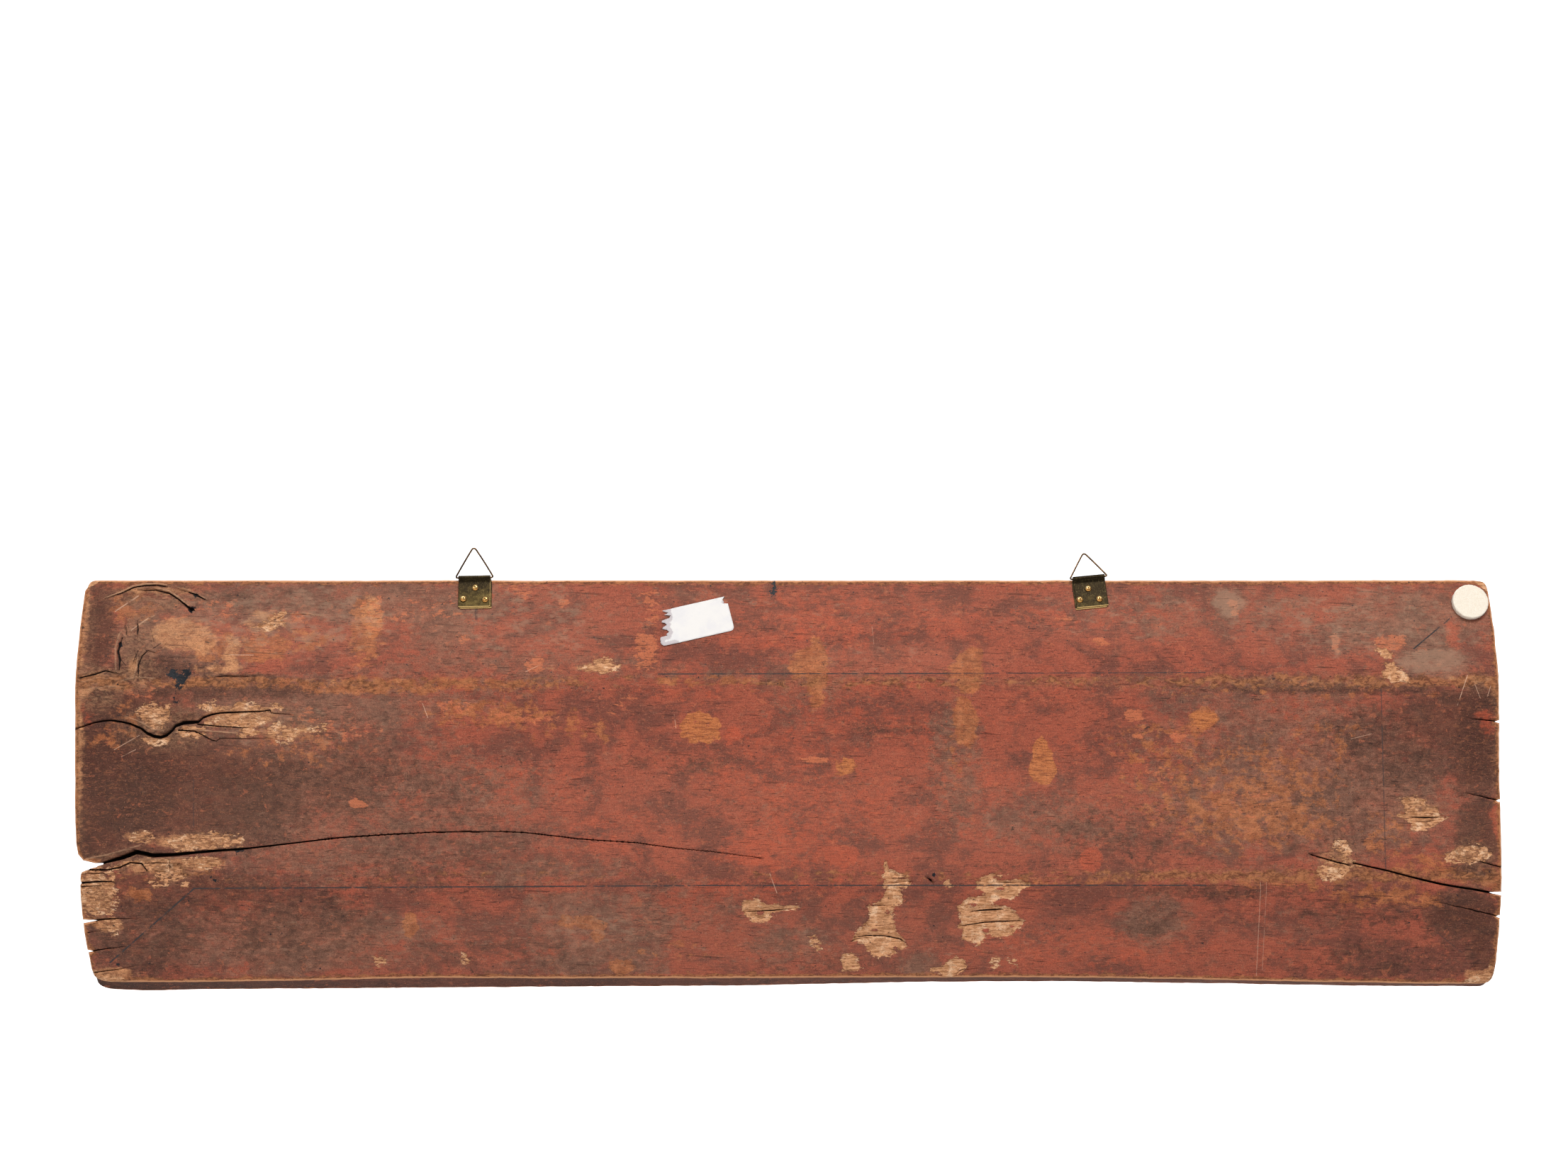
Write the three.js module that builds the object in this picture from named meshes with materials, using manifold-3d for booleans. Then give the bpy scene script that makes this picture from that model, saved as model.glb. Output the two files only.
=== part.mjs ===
// A carved wooden relief panel with a bevelled back, hung by two brass strap hangers.
// Millimetres. +Z is up. The back faces -Y, towards the wall, and the carved front faces +Y.
// The origin is the middle of the raised flat field of the back, where the panel meets the wall.
import * as THREE from "three";
import { mergeVertices } from "three/addons/utils/BufferGeometryUtils.js";
import Module from "manifold-3d";

const wasm = await Module();
wasm.setup();

// Board: one thick plank, thinned to its long edges by a bevel above and below the field
const EDGE_Z = 115.5; // half the height of the back, at its sharp edges
const FIELD_TOP = 58;
const FIELD_BOTTOM = -60;
const BEVEL_DROP = 17; // how far the long edges lie behind the field
const EDGE_THICKNESS = 14;
const FRONT_Y = BEVEL_DROP + EDGE_THICKNESS;
const TOP_BEVEL_ANGLE = Math.atan2(BEVEL_DROP, EDGE_Z - FIELD_TOP);
const SAW_MARGIN = 12; // how far the blanks and cutters run past the board

// The ends are hand sawn, a little out of square
const LEFT_END = { top: -401.5, middle: -402.9, bottom: -399.5 };
const RIGHT_END = { top: 400.9, middle: 402.9, bottom: 405.2 };
const CORNER_RADIUS = { topLeft: 5, topRight: 6, bottomRight: 8, bottomLeft: 13 };
// The front edge of the underside sags lower than the back edge, most at the left
const UNDERSIDE = [
  [-330, -121.2],
  [-180, -120],
  [-20, -118.6],
  [70, -116.4],
  [150, -115.9],
  [240, -117.2],
  [330, -118.8],
];

// Front carving: a sunk ground inside a plain border, filled by a scrolling vine
const BORDER = 22;
const LEDGE_WIDTH = 6;
const LEDGE_DEPTH = 2.4;
const GROUND_DEPTH = 6.5;
const GROUND_Y = FRONT_Y - GROUND_DEPTH;
const CARVING_Z = -1.5; // height of the middle of the carving
const GROUND_HALF_LENGTH = 376;
const GROUND_HALF_HEIGHT = 92;
const STEM_RADIUS = 4.8;
const STEM_START_X = 30;
const BAY_LENGTH = 110;
const BAYS = 3;
const STEM_SWING = 50;
const CURL_RADIUS = 3.8;
const FLOWER_OFFSET = 31; // from the middle of the carving to a flower
const FLOWER_RADIUS = 21;
const FLOWER_PETALS = 6;
const ROSETTE_RADIUS = 34;
const ROSETTE_PETALS = 10;
const RELIEF_HEIGHT = 5.9; // highest point of the carving above the ground
const LEAF_LENGTH = 35;
const LEAF_WIDTH = 13;
const LEAF_HEIGHT = 4.4;
const LEAF_SPREAD = [-56, 0, 56]; // degrees

// Hangers: a brass strap folded over the wire, three screws and a loose triangle of wire
const HANGER_X = { left: -178.9, right: 172.2 };
const HANGER_TURN = { left: 1.2, right: 5.7 }; // degrees in the plane of the bevel
const RING_LEAN = { left: 0, right: -30 }; // degrees from upright, positive towards the wall
const STRAP_WIDTH = 18.2;
const STRAP_BOTTOM = -17.1;
const STRAP_SHEET = 0.64;
const STRAP_SLIP = 0.8; // how far the two folded layers are out of line
const BARREL_RADIUS = 1.35;
const BARREL_BORE = 0.85;
const BARREL_CENTRE = { y: -1.42, z: 0.6 };
const WIRE_RADIUS = 0.52;
const RING_HALF_WIDTH = 10.9;
const RING_HEIGHT = 17.9;
const RING_CORNER = 1.8;
const RING_END_GAP = 1.2;
const SCREW_SHANK = 0.8;
const SCREW_HEAD_RADIUS = 1.8;
const SCREW_HEAD_HEIGHT = 1.3;
const SCREW_LENGTH = 7;
const SCREW_CLEARANCE = 0.3;
const SEAT_GAP = 0.06; // between pieces that lie on each other
const SCREWS = {
  left: { top: [0.5, -5.4, 0], inner: [6.3, -12.7, 0], outer: [-6.1, -12.1, 9] },
  right: { top: [-1.2, -5.8, 0], inner: [-6.8, -12.1, 0], outer: [4.3, -12.7, 0] },
}; // along the strap, up the strap, tilt in degrees

// Felt pad and torn paper on the upper bevel
const PAD_RADIUS = 10.2;
const PAD_THICKNESS = 3.4;
const PAD_AT = { x: 388.7, down: 14.4 };
const PAPER_THICKNESS = 0.2;
const PAPER_AT = { x: -53.1, down: 25.5, turn: 13.6 };
const PAPER_HALF = { width: 21.2, height: 10.6 };
const PAPER_CORNER = 2.4;
const TORN_EDGE = [
  [-15.2, 10.6],
  [-13.3, 8.5],
  [-12.1, 6.3],
  [-18.1, 3.7],
  [-15.8, 1.6],
  [-18.3, -0.3],
  [-15.4, -3.2],
  [-17.2, -4.6],
  [-21.2, -5.3],
]; // from the top of the paper down its left side

const wood = new THREE.MeshStandardMaterial({ color: 0x7d3a2c, roughness: 0.75, metalness: 0 });
const brass = new THREE.MeshStandardMaterial({ color: 0x6b5d33, roughness: 0.42, metalness: 1 });
const wire = new THREE.MeshStandardMaterial({ color: 0x8a6b42, roughness: 0.35, metalness: 1 });
const screwBrass = new THREE.MeshStandardMaterial({ color: 0xd9b668, roughness: 0.28, metalness: 1 });
const felt = new THREE.MeshStandardMaterial({ color: 0xf1e6d3, roughness: 0.95, metalness: 0 });
const paper = new THREE.MeshStandardMaterial({ color: 0xf2efec, roughness: 0.8, metalness: 0 });

// Solids from geometry and back
function solid(geometry) {
  const bare = geometry.clone();
  for (const name of ["normal", "uv"]) bare.deleteAttribute(name);
  const merged = mergeVertices(bare, 1e-4);
  return new wasm.Manifold(
    new wasm.Mesh({
      numProp: 3,
      vertProperties: new Float32Array(merged.attributes.position.array),
      triVerts: new Uint32Array(merged.index.array),
    }),
  );
}

function geometryOf(made) {
  const mesh = made.getMesh();
  const geometry = new THREE.BufferGeometry();
  geometry.setAttribute("position", new THREE.BufferAttribute(mesh.vertProperties, 3));
  geometry.setIndex(new THREE.BufferAttribute(mesh.triVerts, 1));
  geometry.computeVertexNormals();
  return geometry;
}

// A shape drawn as (x, z), made thick from y = from to y = to
function plateAlongY(shape, from, to, options = {}) {
  const geometry = new THREE.ExtrudeGeometry(shape, {
    depth: to - from,
    bevelEnabled: false,
    curveSegments: 6,
    ...options,
  });
  return geometry.rotateX(Math.PI / 2).translate(0, to, 0);
}

// A shape drawn as (y, z), made long from x = from to x = to
function barAlongX(shape, from, to) {
  const turn = new THREE.Matrix4().makeBasis(
    new THREE.Vector3(0, 1, 0),
    new THREE.Vector3(0, 0, 1),
    new THREE.Vector3(1, 0, 0),
  );
  const geometry = new THREE.ExtrudeGeometry(shape, {
    depth: to - from,
    bevelEnabled: false,
    curveSegments: 8,
  });
  return geometry.applyMatrix4(turn).translate(from, 0, 0);
}

function polygon(points) {
  return new THREE.Shape(points.map(([a, b]) => new THREE.Vector2(a, b)));
}

function roundedRectangle(halfWidth, halfHeight, radius, centreZ = 0) {
  const shape = new THREE.Shape();
  const [x, z] = [halfWidth - radius, halfHeight - radius];
  shape.absarc(x, centreZ + z, radius, 0, Math.PI / 2, false);
  shape.absarc(-x, centreZ + z, radius, Math.PI / 2, Math.PI, false);
  shape.absarc(-x, centreZ - z, radius, Math.PI, 1.5 * Math.PI, false);
  shape.absarc(x, centreZ - z, radius, 1.5 * Math.PI, 2 * Math.PI, false);
  return shape;
}

// Board
function boardSection() {
  return polygon([
    [0, FIELD_BOTTOM],
    [BEVEL_DROP, -EDGE_Z + 0.5],
    [FRONT_Y, -EDGE_Z - SAW_MARGIN],
    [FRONT_Y, EDGE_Z],
    [BEVEL_DROP, EDGE_Z],
    [0, FIELD_TOP],
  ]);
}

function boardOutline() {
  const shape = new THREE.Shape();
  const [left, right, r] = [LEFT_END, RIGHT_END, CORNER_RADIUS];
  const lowLeft = UNDERSIDE[0][1];
  const lowRight = UNDERSIDE[UNDERSIDE.length - 1][1];
  shape.moveTo(left.top + r.topLeft, EDGE_Z);
  shape.quadraticCurveTo(left.top, EDGE_Z, left.top, EDGE_Z - r.topLeft);
  shape.lineTo(left.middle, FIELD_TOP);
  shape.lineTo(left.middle, -20);
  shape.lineTo(left.bottom - 1.2, -70);
  shape.lineTo(left.bottom, lowLeft + r.bottomLeft);
  shape.quadraticCurveTo(left.bottom, lowLeft, left.bottom + r.bottomLeft * 1.6, lowLeft);
  for (const [x, z] of UNDERSIDE) shape.lineTo(x, z);
  shape.lineTo(right.bottom - r.bottomRight, lowRight);
  shape.quadraticCurveTo(right.bottom, lowRight, right.bottom, lowRight + r.bottomRight);
  shape.lineTo(right.middle, -20);
  shape.lineTo(right.middle - 0.4, FIELD_TOP);
  shape.lineTo(right.top, EDGE_Z - r.topRight);
  shape.quadraticCurveTo(right.top, EDGE_Z, right.top - r.topRight, EDGE_Z);
  return shape;
}

// A split as a strip of varying width along a line of [x, z, width]
function splitShape(line) {
  const upper = line.map(([x, z, width]) => [x, z + width / 2]);
  const lower = line.map(([x, z, width]) => [x, z - width / 2]).reverse();
  return polygon([...lower, ...upper]);
}

const SPLITS = [
  // the long split at the left end, open through the board at its mouth
  {
    from: -SAW_MARGIN,
    to: FRONT_Y + SAW_MARGIN,
    line: [
      [-410, -47.2, 6.4],
      [-400, -47, 5],
      [-391, -47.4, 1.2],
    ],
  },
  {
    from: -SAW_MARGIN,
    to: 13,
    line: [
      [-392, -47.4, 1.4],
      [-382, -47.2, 1.2],
      [-372, -41.6, 2.6],
      [-361, -42, 2.8],
      [-347, -42.2, 1.8],
      [-305, -39.2, 0.9],
    ],
  },
  // the curved split above it, widest where a flake has gone
  {
    from: -SAW_MARGIN,
    to: 9,
    line: [
      [-410, 28, 1],
      [-384, 33.6, 1],
      [-371, 31, 1.6],
      [-360, 25.6, 3],
      [-352, 26, 3.6],
      [-344, 31, 4.4],
      [-334, 33.8, 3.2],
      [-324, 38, 1],
    ],
  },
  // the slanting split at the right end
  {
    from: -SAW_MARGIN,
    to: 14,
    line: [
      [330, -50.4, 0.7],
      [372, -58.6, 1],
      [412, -65.6, 1.5],
    ],
  },
  // short splits in the left end grain
  {
    from: -SAW_MARGIN,
    to: FRONT_Y + SAW_MARGIN,
    line: [
      [-412, -80.6, 1.8],
      [-399, -80, 1.4],
      [-374, -78.6, 0.5],
    ],
  },
];

function hangerMatrix(side) {
  return new THREE.Matrix4()
    .makeTranslation(HANGER_X[side], BEVEL_DROP, EDGE_Z)
    .multiply(new THREE.Matrix4().makeRotationX(-TOP_BEVEL_ANGLE))
    .multiply(new THREE.Matrix4().makeRotationY(-THREE.MathUtils.degToRad(HANGER_TURN[side])));
}

// A tilted screw stands off by as much as its head would dig in
function screwMatrix([x, z, tilt]) {
  const angle = THREE.MathUtils.degToRad(tilt);
  const seat = 2 * STRAP_SHEET + 2 * SEAT_GAP + SCREW_HEAD_RADIUS * Math.sin(angle);
  return new THREE.Matrix4()
    .makeTranslation(x, -seat, z)
    .multiply(new THREE.Matrix4().makeRotationZ(angle));
}

// The hole that a screw goes through, in the strap's frame
function screwHole(place) {
  const length = SCREW_LENGTH + 4;
  const radius = SCREW_SHANK + SCREW_CLEARANCE;
  return new THREE.CylinderGeometry(radius, radius, length, 10)
    .translate(0, length / 2 - 1.6, 0)
    .applyMatrix4(screwMatrix(place));
}

// Carving
function stemZ(x) {
  return CARVING_Z + STEM_SWING * Math.sin((Math.PI * (x - STEM_START_X)) / BAY_LENGTH);
}

function roundTube(points, radius, steps) {
  const section = new THREE.Shape().absarc(0, 0, radius, 0, 2 * Math.PI, false);
  return new THREE.ExtrudeGeometry(section, {
    steps,
    curveSegments: 4,
    bevelEnabled: false,
    extrudePath: new THREE.CatmullRomCurve3(points),
  });
}

function mainStem() {
  const end = STEM_START_X + BAYS * BAY_LENGTH;
  const points = [];
  for (let x = STEM_START_X - 6; x <= end + 4; x += 10) {
    points.push(new THREE.Vector3(x, GROUND_Y, stemZ(x)));
  }
  return roundTube(points, STEM_RADIUS, 30);
}

function bay(index) {
  const side = index % 2 === 0 ? -1 : 1; // the flower lies on the other side of the stem's crest
  return { x: STEM_START_X + (index + 0.5) * BAY_LENGTH, z: CARVING_Z + side * FLOWER_OFFSET, side };
}

// A shoot that leaves the stem and winds once round its flower
function curl(index) {
  const { x, z, side } = bay(index);
  const points = [];
  for (let t = 0; t <= 1.001; t += 0.08) {
    const angle = -side * THREE.MathUtils.degToRad(52 - 262 * t);
    const radius = 62 - 29 * Math.pow(t, 0.7);
    points.push(new THREE.Vector3(x + radius * Math.cos(angle), GROUND_Y, z + radius * Math.sin(angle)));
  }
  return roundTube(points, CURL_RADIUS, 17);
}

function dome(x, z, radiusX, height, radiusZ, turn = 0) {
  return new THREE.SphereGeometry(1, 8, 6)
    .rotateX(Math.PI / 2)
    .scale(radiusX, height, radiusZ)
    .rotateY(turn)
    .translate(x, GROUND_Y, z);
}

// Petals in a ring round a button
function flower(x, z, radius, petals, height) {
  const parts = [dome(x, z, radius * 0.34, height, radius * 0.34)];
  const reach = radius * 0.62;
  const halfWidth = reach * Math.sin(Math.PI / petals) * 1.08;
  for (let i = 0; i < petals; i += 1) {
    const angle = (2 * Math.PI * (i + 0.5)) / petals;
    const [petalX, petalZ] = [x + reach * Math.cos(angle), z + reach * Math.sin(angle)];
    parts.push(dome(petalX, petalZ, radius * 0.4, height * 0.8, halfWidth, -angle));
  }
  return parts;
}

// A pointed leaf, highest along its midrib
function leaf(x, z, angle, length) {
  const half = LEAF_WIDTH / 2;
  const shape = new THREE.Shape();
  shape.moveTo(0, 0);
  shape.quadraticCurveTo(length * 0.32, half * 2, length, 0);
  shape.quadraticCurveTo(length * 0.32, -half * 2, 0, 0);
  const outline = shape.getPoints(6).slice(0, -1);
  const foot = (i) => {
    const { x: along, y: across } = outline[i % outline.length];
    return [along, -1, across];
  };
  const crest = (i) => {
    const along = THREE.MathUtils.clamp(foot(i)[0], length * 0.12, length * 0.82);
    return [along, LEAF_HEIGHT, 0];
  };
  const positions = [];
  outline.forEach((_, i) => {
    const [a, b, c, d] = [foot(i), foot(i + 1), crest(i), crest(i + 1)];
    positions.push(...a, ...b, ...c);
    if (c[0] !== d[0]) positions.push(...b, ...d, ...c);
    positions.push(length / 2, -1, 0, ...b, ...a);
  });
  const geometry = new THREE.BufferGeometry();
  geometry.setAttribute("position", new THREE.Float32BufferAttribute(positions, 3));
  return geometry.rotateY(-angle).translate(x, GROUND_Y, z);
}

// A fan of leaves that points up (1) or down (-1)
function leafFan(x, z, up, length) {
  return LEAF_SPREAD.map((spread) => {
    const angle = THREE.MathUtils.degToRad(up * 90 - spread);
    return leaf(x + spread * 0.1, z, angle, length);
  });
}

function carving() {
  const half = [mainStem()];
  for (let i = 0; i < BAYS; i += 1) {
    const { x, z, side } = bay(i);
    const crest = CARVING_Z - side * (STEM_SWING + 3);
    half.push(curl(i), ...flower(x, z, FLOWER_RADIUS, FLOWER_PETALS, RELIEF_HEIGHT));
    half.push(...leafFan(x, crest, -side, LEAF_LENGTH));
  }
  const rightHalf = wasm.Manifold.union(half.map(solid));
  const middle = [
    ...flower(0, CARVING_Z, ROSETTE_RADIUS, ROSETTE_PETALS, RELIEF_HEIGHT),
    ...leafFan(0, CARVING_Z + 36, 1, LEAF_LENGTH * 1.4),
    ...leafFan(0, CARVING_Z - 36, -1, LEAF_LENGTH * 1.4),
  ];
  return wasm.Manifold.union([rightHalf, rightHalf.mirror([1, 0, 0]), ...middle.map(solid)]);
}

function board() {
  const [from, to] = [LEFT_END.middle - SAW_MARGIN, RIGHT_END.bottom + SAW_MARGIN];
  const blank = solid(barAlongX(boardSection(), from, to));
  const outline = solid(plateAlongY(boardOutline(), -SAW_MARGIN, FRONT_Y + SAW_MARGIN));
  const ledgeHalf = [GROUND_HALF_LENGTH + LEDGE_WIDTH, GROUND_HALF_HEIGHT + LEDGE_WIDTH];
  const ledge = roundedRectangle(...ledgeHalf, 9, CARVING_Z);
  const ground = roundedRectangle(GROUND_HALF_LENGTH, GROUND_HALF_HEIGHT, 6, CARVING_Z);
  let made = blank
    .intersect(outline)
    .subtract(solid(plateAlongY(ledge, FRONT_Y - LEDGE_DEPTH, FRONT_Y + SAW_MARGIN)))
    .subtract(solid(plateAlongY(ground, GROUND_Y, FRONT_Y + SAW_MARGIN)));
  const inside = solid(plateAlongY(ledge, GROUND_Y - 2, FRONT_Y + SAW_MARGIN));
  made = made.add(carving().intersect(inside));
  for (const split of SPLITS) {
    made = made.subtract(solid(plateAlongY(splitShape(split.line), split.from, split.to)));
  }
  for (const side of ["left", "right"]) {
    for (const place of Object.values(SCREWS[side])) {
      made = made.subtract(solid(screwHole(place).applyMatrix4(hangerMatrix(side))));
    }
  }
  return geometryOf(made);
}

// Hanger pieces, in the strap's frame: x along its width, z up the bevel, -y out of the bevel
function strap(side) {
  const half = STRAP_WIDTH / 2;
  const slip = side === "left" ? STRAP_SLIP : -STRAP_SLIP;
  const layer = (shift, near, far, bottom) => {
    const [left, right] = [shift - half, shift + half];
    const outline = polygon([
      [left, bottom],
      [right, bottom],
      [right, BARREL_CENTRE.z],
      [left, BARREL_CENTRE.z],
    ]);
    return solid(plateAlongY(outline, near, far));
  };
  const barrel = (radius, length) =>
    solid(
      new THREE.CylinderGeometry(radius, radius, length, 16)
        .rotateZ(Math.PI / 2)
        .translate(0, BARREL_CENTRE.y, BARREL_CENTRE.z),
    );
  const outer = layer(0, -SEAT_GAP - 2 * STRAP_SHEET, -SEAT_GAP - STRAP_SHEET, STRAP_BOTTOM);
  const inner = layer(slip, -SEAT_GAP - STRAP_SHEET - 0.02, -SEAT_GAP, STRAP_BOTTOM - 0.7);
  let made = outer
    .add(inner)
    .add(barrel(BARREL_RADIUS, STRAP_WIDTH))
    .subtract(barrel(BARREL_BORE, 2 * STRAP_WIDTH));
  for (const place of Object.values(SCREWS[side])) made = made.subtract(solid(screwHole(place)));
  return geometryOf(made);
}

function screw() {
  const head = SCREW_HEAD_RADIUS;
  const tall = SCREW_HEAD_HEIGHT;
  const profile = [
    [0, SCREW_LENGTH],
    [SCREW_SHANK, SCREW_LENGTH - 1.6],
    [SCREW_SHANK, 0],
    [head, 0],
    [head, -tall * 0.35],
    [head * 0.78, -tall * 0.8],
    [head * 0.35, -tall],
    [0, -tall],
  ];
  return new THREE.LatheGeometry(profile.reverse().map(([r, y]) => new THREE.Vector2(r, y)), 10);
}

// A closed tube along a path of points in the plane y = 0, cut square at both ends
function wireAlong(points, radius, sides) {
  const count = points.length;
  const rings = points.map((point, i) => {
    const before = points[Math.max(i - 1, 0)];
    const after = points[Math.min(i + 1, count - 1)];
    const incoming = point.clone().sub(before).normalize();
    const outgoing = after.clone().sub(point).normalize();
    const along = incoming.add(outgoing).normalize();
    return { point, across: new THREE.Vector2(-along.y, along.x) };
  });
  const positions = [];
  for (const { point, across } of rings) {
    for (let side = 0; side < sides; side += 1) {
      const angle = (2 * Math.PI * (side + 0.5)) / sides;
      const out = radius * Math.cos(angle);
      positions.push(point.x + across.x * out, radius * Math.sin(angle), point.y + across.y * out);
    }
  }
  const index = [];
  for (let side = 1; side < sides - 1; side += 1) {
    const last = (count - 1) * sides;
    index.push(0, side, side + 1, last, last + side + 1, last + side);
  }
  for (let i = 0; i < count - 1; i += 1) {
    for (let side = 0; side < sides; side += 1) {
      const next = (side + 1) % sides;
      const [a, b] = [i * sides + side, i * sides + next];
      index.push(a, a + sides, b, b, a + sides, b + sides);
    }
  }
  const geometry = new THREE.BufferGeometry();
  geometry.setAttribute("position", new THREE.Float32BufferAttribute(positions, 3));
  geometry.setIndex(index);
  return geometry;
}

// A triangle of wire whose ends meet inside the barrel, drawn as (x, z)
function ring() {
  const corners = [
    [-RING_HALF_WIDTH, 0],
    [0, RING_HEIGHT],
    [RING_HALF_WIDTH, 0],
  ].map(([x, z]) => new THREE.Vector2(x, z));
  const start = new THREE.Vector2(-RING_END_GAP / 2, 0);
  const end = new THREE.Vector2(RING_END_GAP / 2, 0);
  const points = [start];
  corners.forEach((corner, i) => {
    const before = corners[i - 1] ?? start;
    const after = corners[i + 1] ?? end;
    const [from, to] = [before, after].map((other) =>
      corner.clone().add(other.clone().sub(corner).setLength(RING_CORNER)),
    );
    points.push(...new THREE.QuadraticBezierCurve(from, corner, to).getPoints(5));
  });
  points.push(end);
  return wireAlong(points, WIRE_RADIUS, 8);
}

// Paper torn away along its left side, in the plane of the bevel
function tornPaper() {
  const { width, height } = PAPER_HALF;
  const shape = new THREE.Shape();
  shape.moveTo(...TORN_EDGE[0]);
  for (const [x, z] of TORN_EDGE.slice(1)) shape.lineTo(x, z);
  shape.lineTo(-width, -height + PAPER_CORNER);
  shape.quadraticCurveTo(-width, -height, -width + PAPER_CORNER, -height);
  shape.lineTo(width - PAPER_CORNER, -height);
  shape.quadraticCurveTo(width, -height, width, -height + PAPER_CORNER);
  shape.lineTo(width, height - 4.7);
  shape.lineTo(width - 2.5, height - 3.7);
  shape.lineTo(width - 1.2, height);
  return plateAlongY(shape, -SEAT_GAP - PAPER_THICKNESS, -SEAT_GAP, { curveSegments: 3 });
}

function named(name, geometry, material) {
  const mesh = new THREE.Mesh(geometry, material);
  mesh.name = name;
  return mesh;
}

const panel = new THREE.Group();
panel.add(named("relief_board", board(), wood));

// A frame on the upper bevel: x along it, z up it, -y out of it
function onTopBevel(x, down, turn) {
  const place = new THREE.Group();
  place.position.set(x, BEVEL_DROP, EDGE_Z);
  place.rotation.x = -TOP_BEVEL_ANGLE;
  const turned = new THREE.Group();
  turned.position.z = -down;
  turned.rotation.y = -THREE.MathUtils.degToRad(turn);
  place.add(turned);
  panel.add(place);
  return turned;
}

for (const side of ["left", "right"]) {
  const hanger = onTopBevel(HANGER_X[side], 0, HANGER_TURN[side]);
  hanger.add(named(`${side}_hanger_strap`, strap(side), brass));
  for (const [place, at] of Object.entries(SCREWS[side])) {
    const made = named(`${side}_${place}_screw`, screw(), screwBrass);
    made.applyMatrix4(screwMatrix(at));
    hanger.add(made);
  }
  const wireRing = named(`${side}_hanging_ring`, ring(), wire);
  wireRing.position.set(0, BARREL_CENTRE.y, BARREL_CENTRE.z);
  wireRing.rotation.x = TOP_BEVEL_ANGLE + THREE.MathUtils.degToRad(RING_LEAN[side]);
  hanger.add(wireRing);
}

const disc = new THREE.CylinderGeometry(PAD_RADIUS, PAD_RADIUS, PAD_THICKNESS, 32);
disc.translate(0, -PAD_THICKNESS / 2 - SEAT_GAP, 0);
onTopBevel(PAD_AT.x, PAD_AT.down, 0).add(named("felt_pad", disc, felt));

const label = named("torn_paper", tornPaper(), paper);
onTopBevel(PAPER_AT.x, PAPER_AT.down, PAPER_AT.turn).add(label);

export default panel;
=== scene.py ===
"""The looks of an old carved wall panel, seen from behind, with its hangers, felt bumper and torn paper."""

import math

import bmesh
import bpy
import numpy as np
from bpy.props import FloatProperty, FloatVectorProperty, PointerProperty
from mathutils import Matrix, Vector
from mathutils.geometry import delaunay_2d_cdt


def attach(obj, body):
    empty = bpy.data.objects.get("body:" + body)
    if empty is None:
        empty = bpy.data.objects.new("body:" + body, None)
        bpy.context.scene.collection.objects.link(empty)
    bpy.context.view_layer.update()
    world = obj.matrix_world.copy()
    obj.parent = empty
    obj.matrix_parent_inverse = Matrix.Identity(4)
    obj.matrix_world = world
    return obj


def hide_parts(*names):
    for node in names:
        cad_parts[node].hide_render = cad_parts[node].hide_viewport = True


bl_info = {
    "name": "Carved Wall Panel",
    "version": (1, 0, 0),
    "blender": (4, 5, 0),
    "location": "3D View > Sidebar > Wall Panel",
    "description": "Builds the back, the carved front and the hangers of an old wooden wall panel",
    "category": "Object",
}

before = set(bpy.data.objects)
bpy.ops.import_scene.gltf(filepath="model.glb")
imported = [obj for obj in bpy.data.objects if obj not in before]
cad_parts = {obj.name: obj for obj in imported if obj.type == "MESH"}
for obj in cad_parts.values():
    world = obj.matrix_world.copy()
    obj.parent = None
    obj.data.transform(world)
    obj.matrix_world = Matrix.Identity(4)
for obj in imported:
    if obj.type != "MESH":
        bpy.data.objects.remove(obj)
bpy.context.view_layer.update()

MM = 0.001

# The board, in millimetres: x along it, z up, y from the back (0) to the carved front
FIELD_TOP = 58.0
FIELD_BOTTOM = -60.0
TOP_EDGE = 115.5
BOTTOM_EDGE = -115.0
BEVEL_DROP = 17.0
FRONT = 31.0
TOP_SLOPE = BEVEL_DROP / (TOP_EDGE - FIELD_TOP)
LOW_SLOPE = BEVEL_DROP / (FIELD_BOTTOM - BOTTOM_EDGE)
TOP_BEVEL_ANGLE = math.atan(TOP_SLOPE)
RIDGE_SOFTNESS = 2.2

# Spacing of the mesh's points on plain places, near detail and on detail, and rows on the sides
BACK_SPACINGS = (3.7, 1.9, 1.05)
FRONT_SPACINGS = (5.4, 1.75, 1.3)
SIDE_ROWS = 11

# The sawn ends from top to bottom, and the two edges of the underside from right to left
RIGHT_END = [
    (401, 109.5), (402.2, 86), (402.4, 58), (402.4, 34.4), (400.6, 33.9), (402.5, 33.3), (402.6, 0),
    (403.2, -10.4), (401, -10.8), (403.3, -11.2), (403.8, -40), (403.9, -62.6), (399.4, -62.9),
    (404.1, -64.2), (404.5, -76), (402.4, -76.5), (404.6, -77), (404.9, -96), (405.1, -107),
]
LEFT_END = [
    (-398.4, -103), (-398.4, -109), (-396.9, -109.4), (-398.5, -109.9), (-399.3, -97.4), (-396.8, -96.8),
    (-399.5, -96.1), (-400.1, -86), (-400.1, -80.3), (-393.6, -79.1), (-400.2, -78.5), (-400.4, -66),
    (-399.8, -52.4), (-398.9, -51), (-394.6, -49.2), (-390.6, -48.2), (-390.2, -46.6), (-398.2, -44.8),
    (-401.2, -41.2), (-402.4, -35), (-402.9, -22), (-402.9, 20), (-402.9, 58), (-402.9, 86), (-402.2, 109),
]
UNDERSIDE_BACK = [
    (-385, -115.2), (-330, -115), (-284, -114.2), (-204, -112.6), (-120, -112.9), (-44, -112.8),
    (36, -112.5), (116, -112.2), (198, -112.9), (280, -114.5), (360, -116), (398, -116.3),
]
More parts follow.
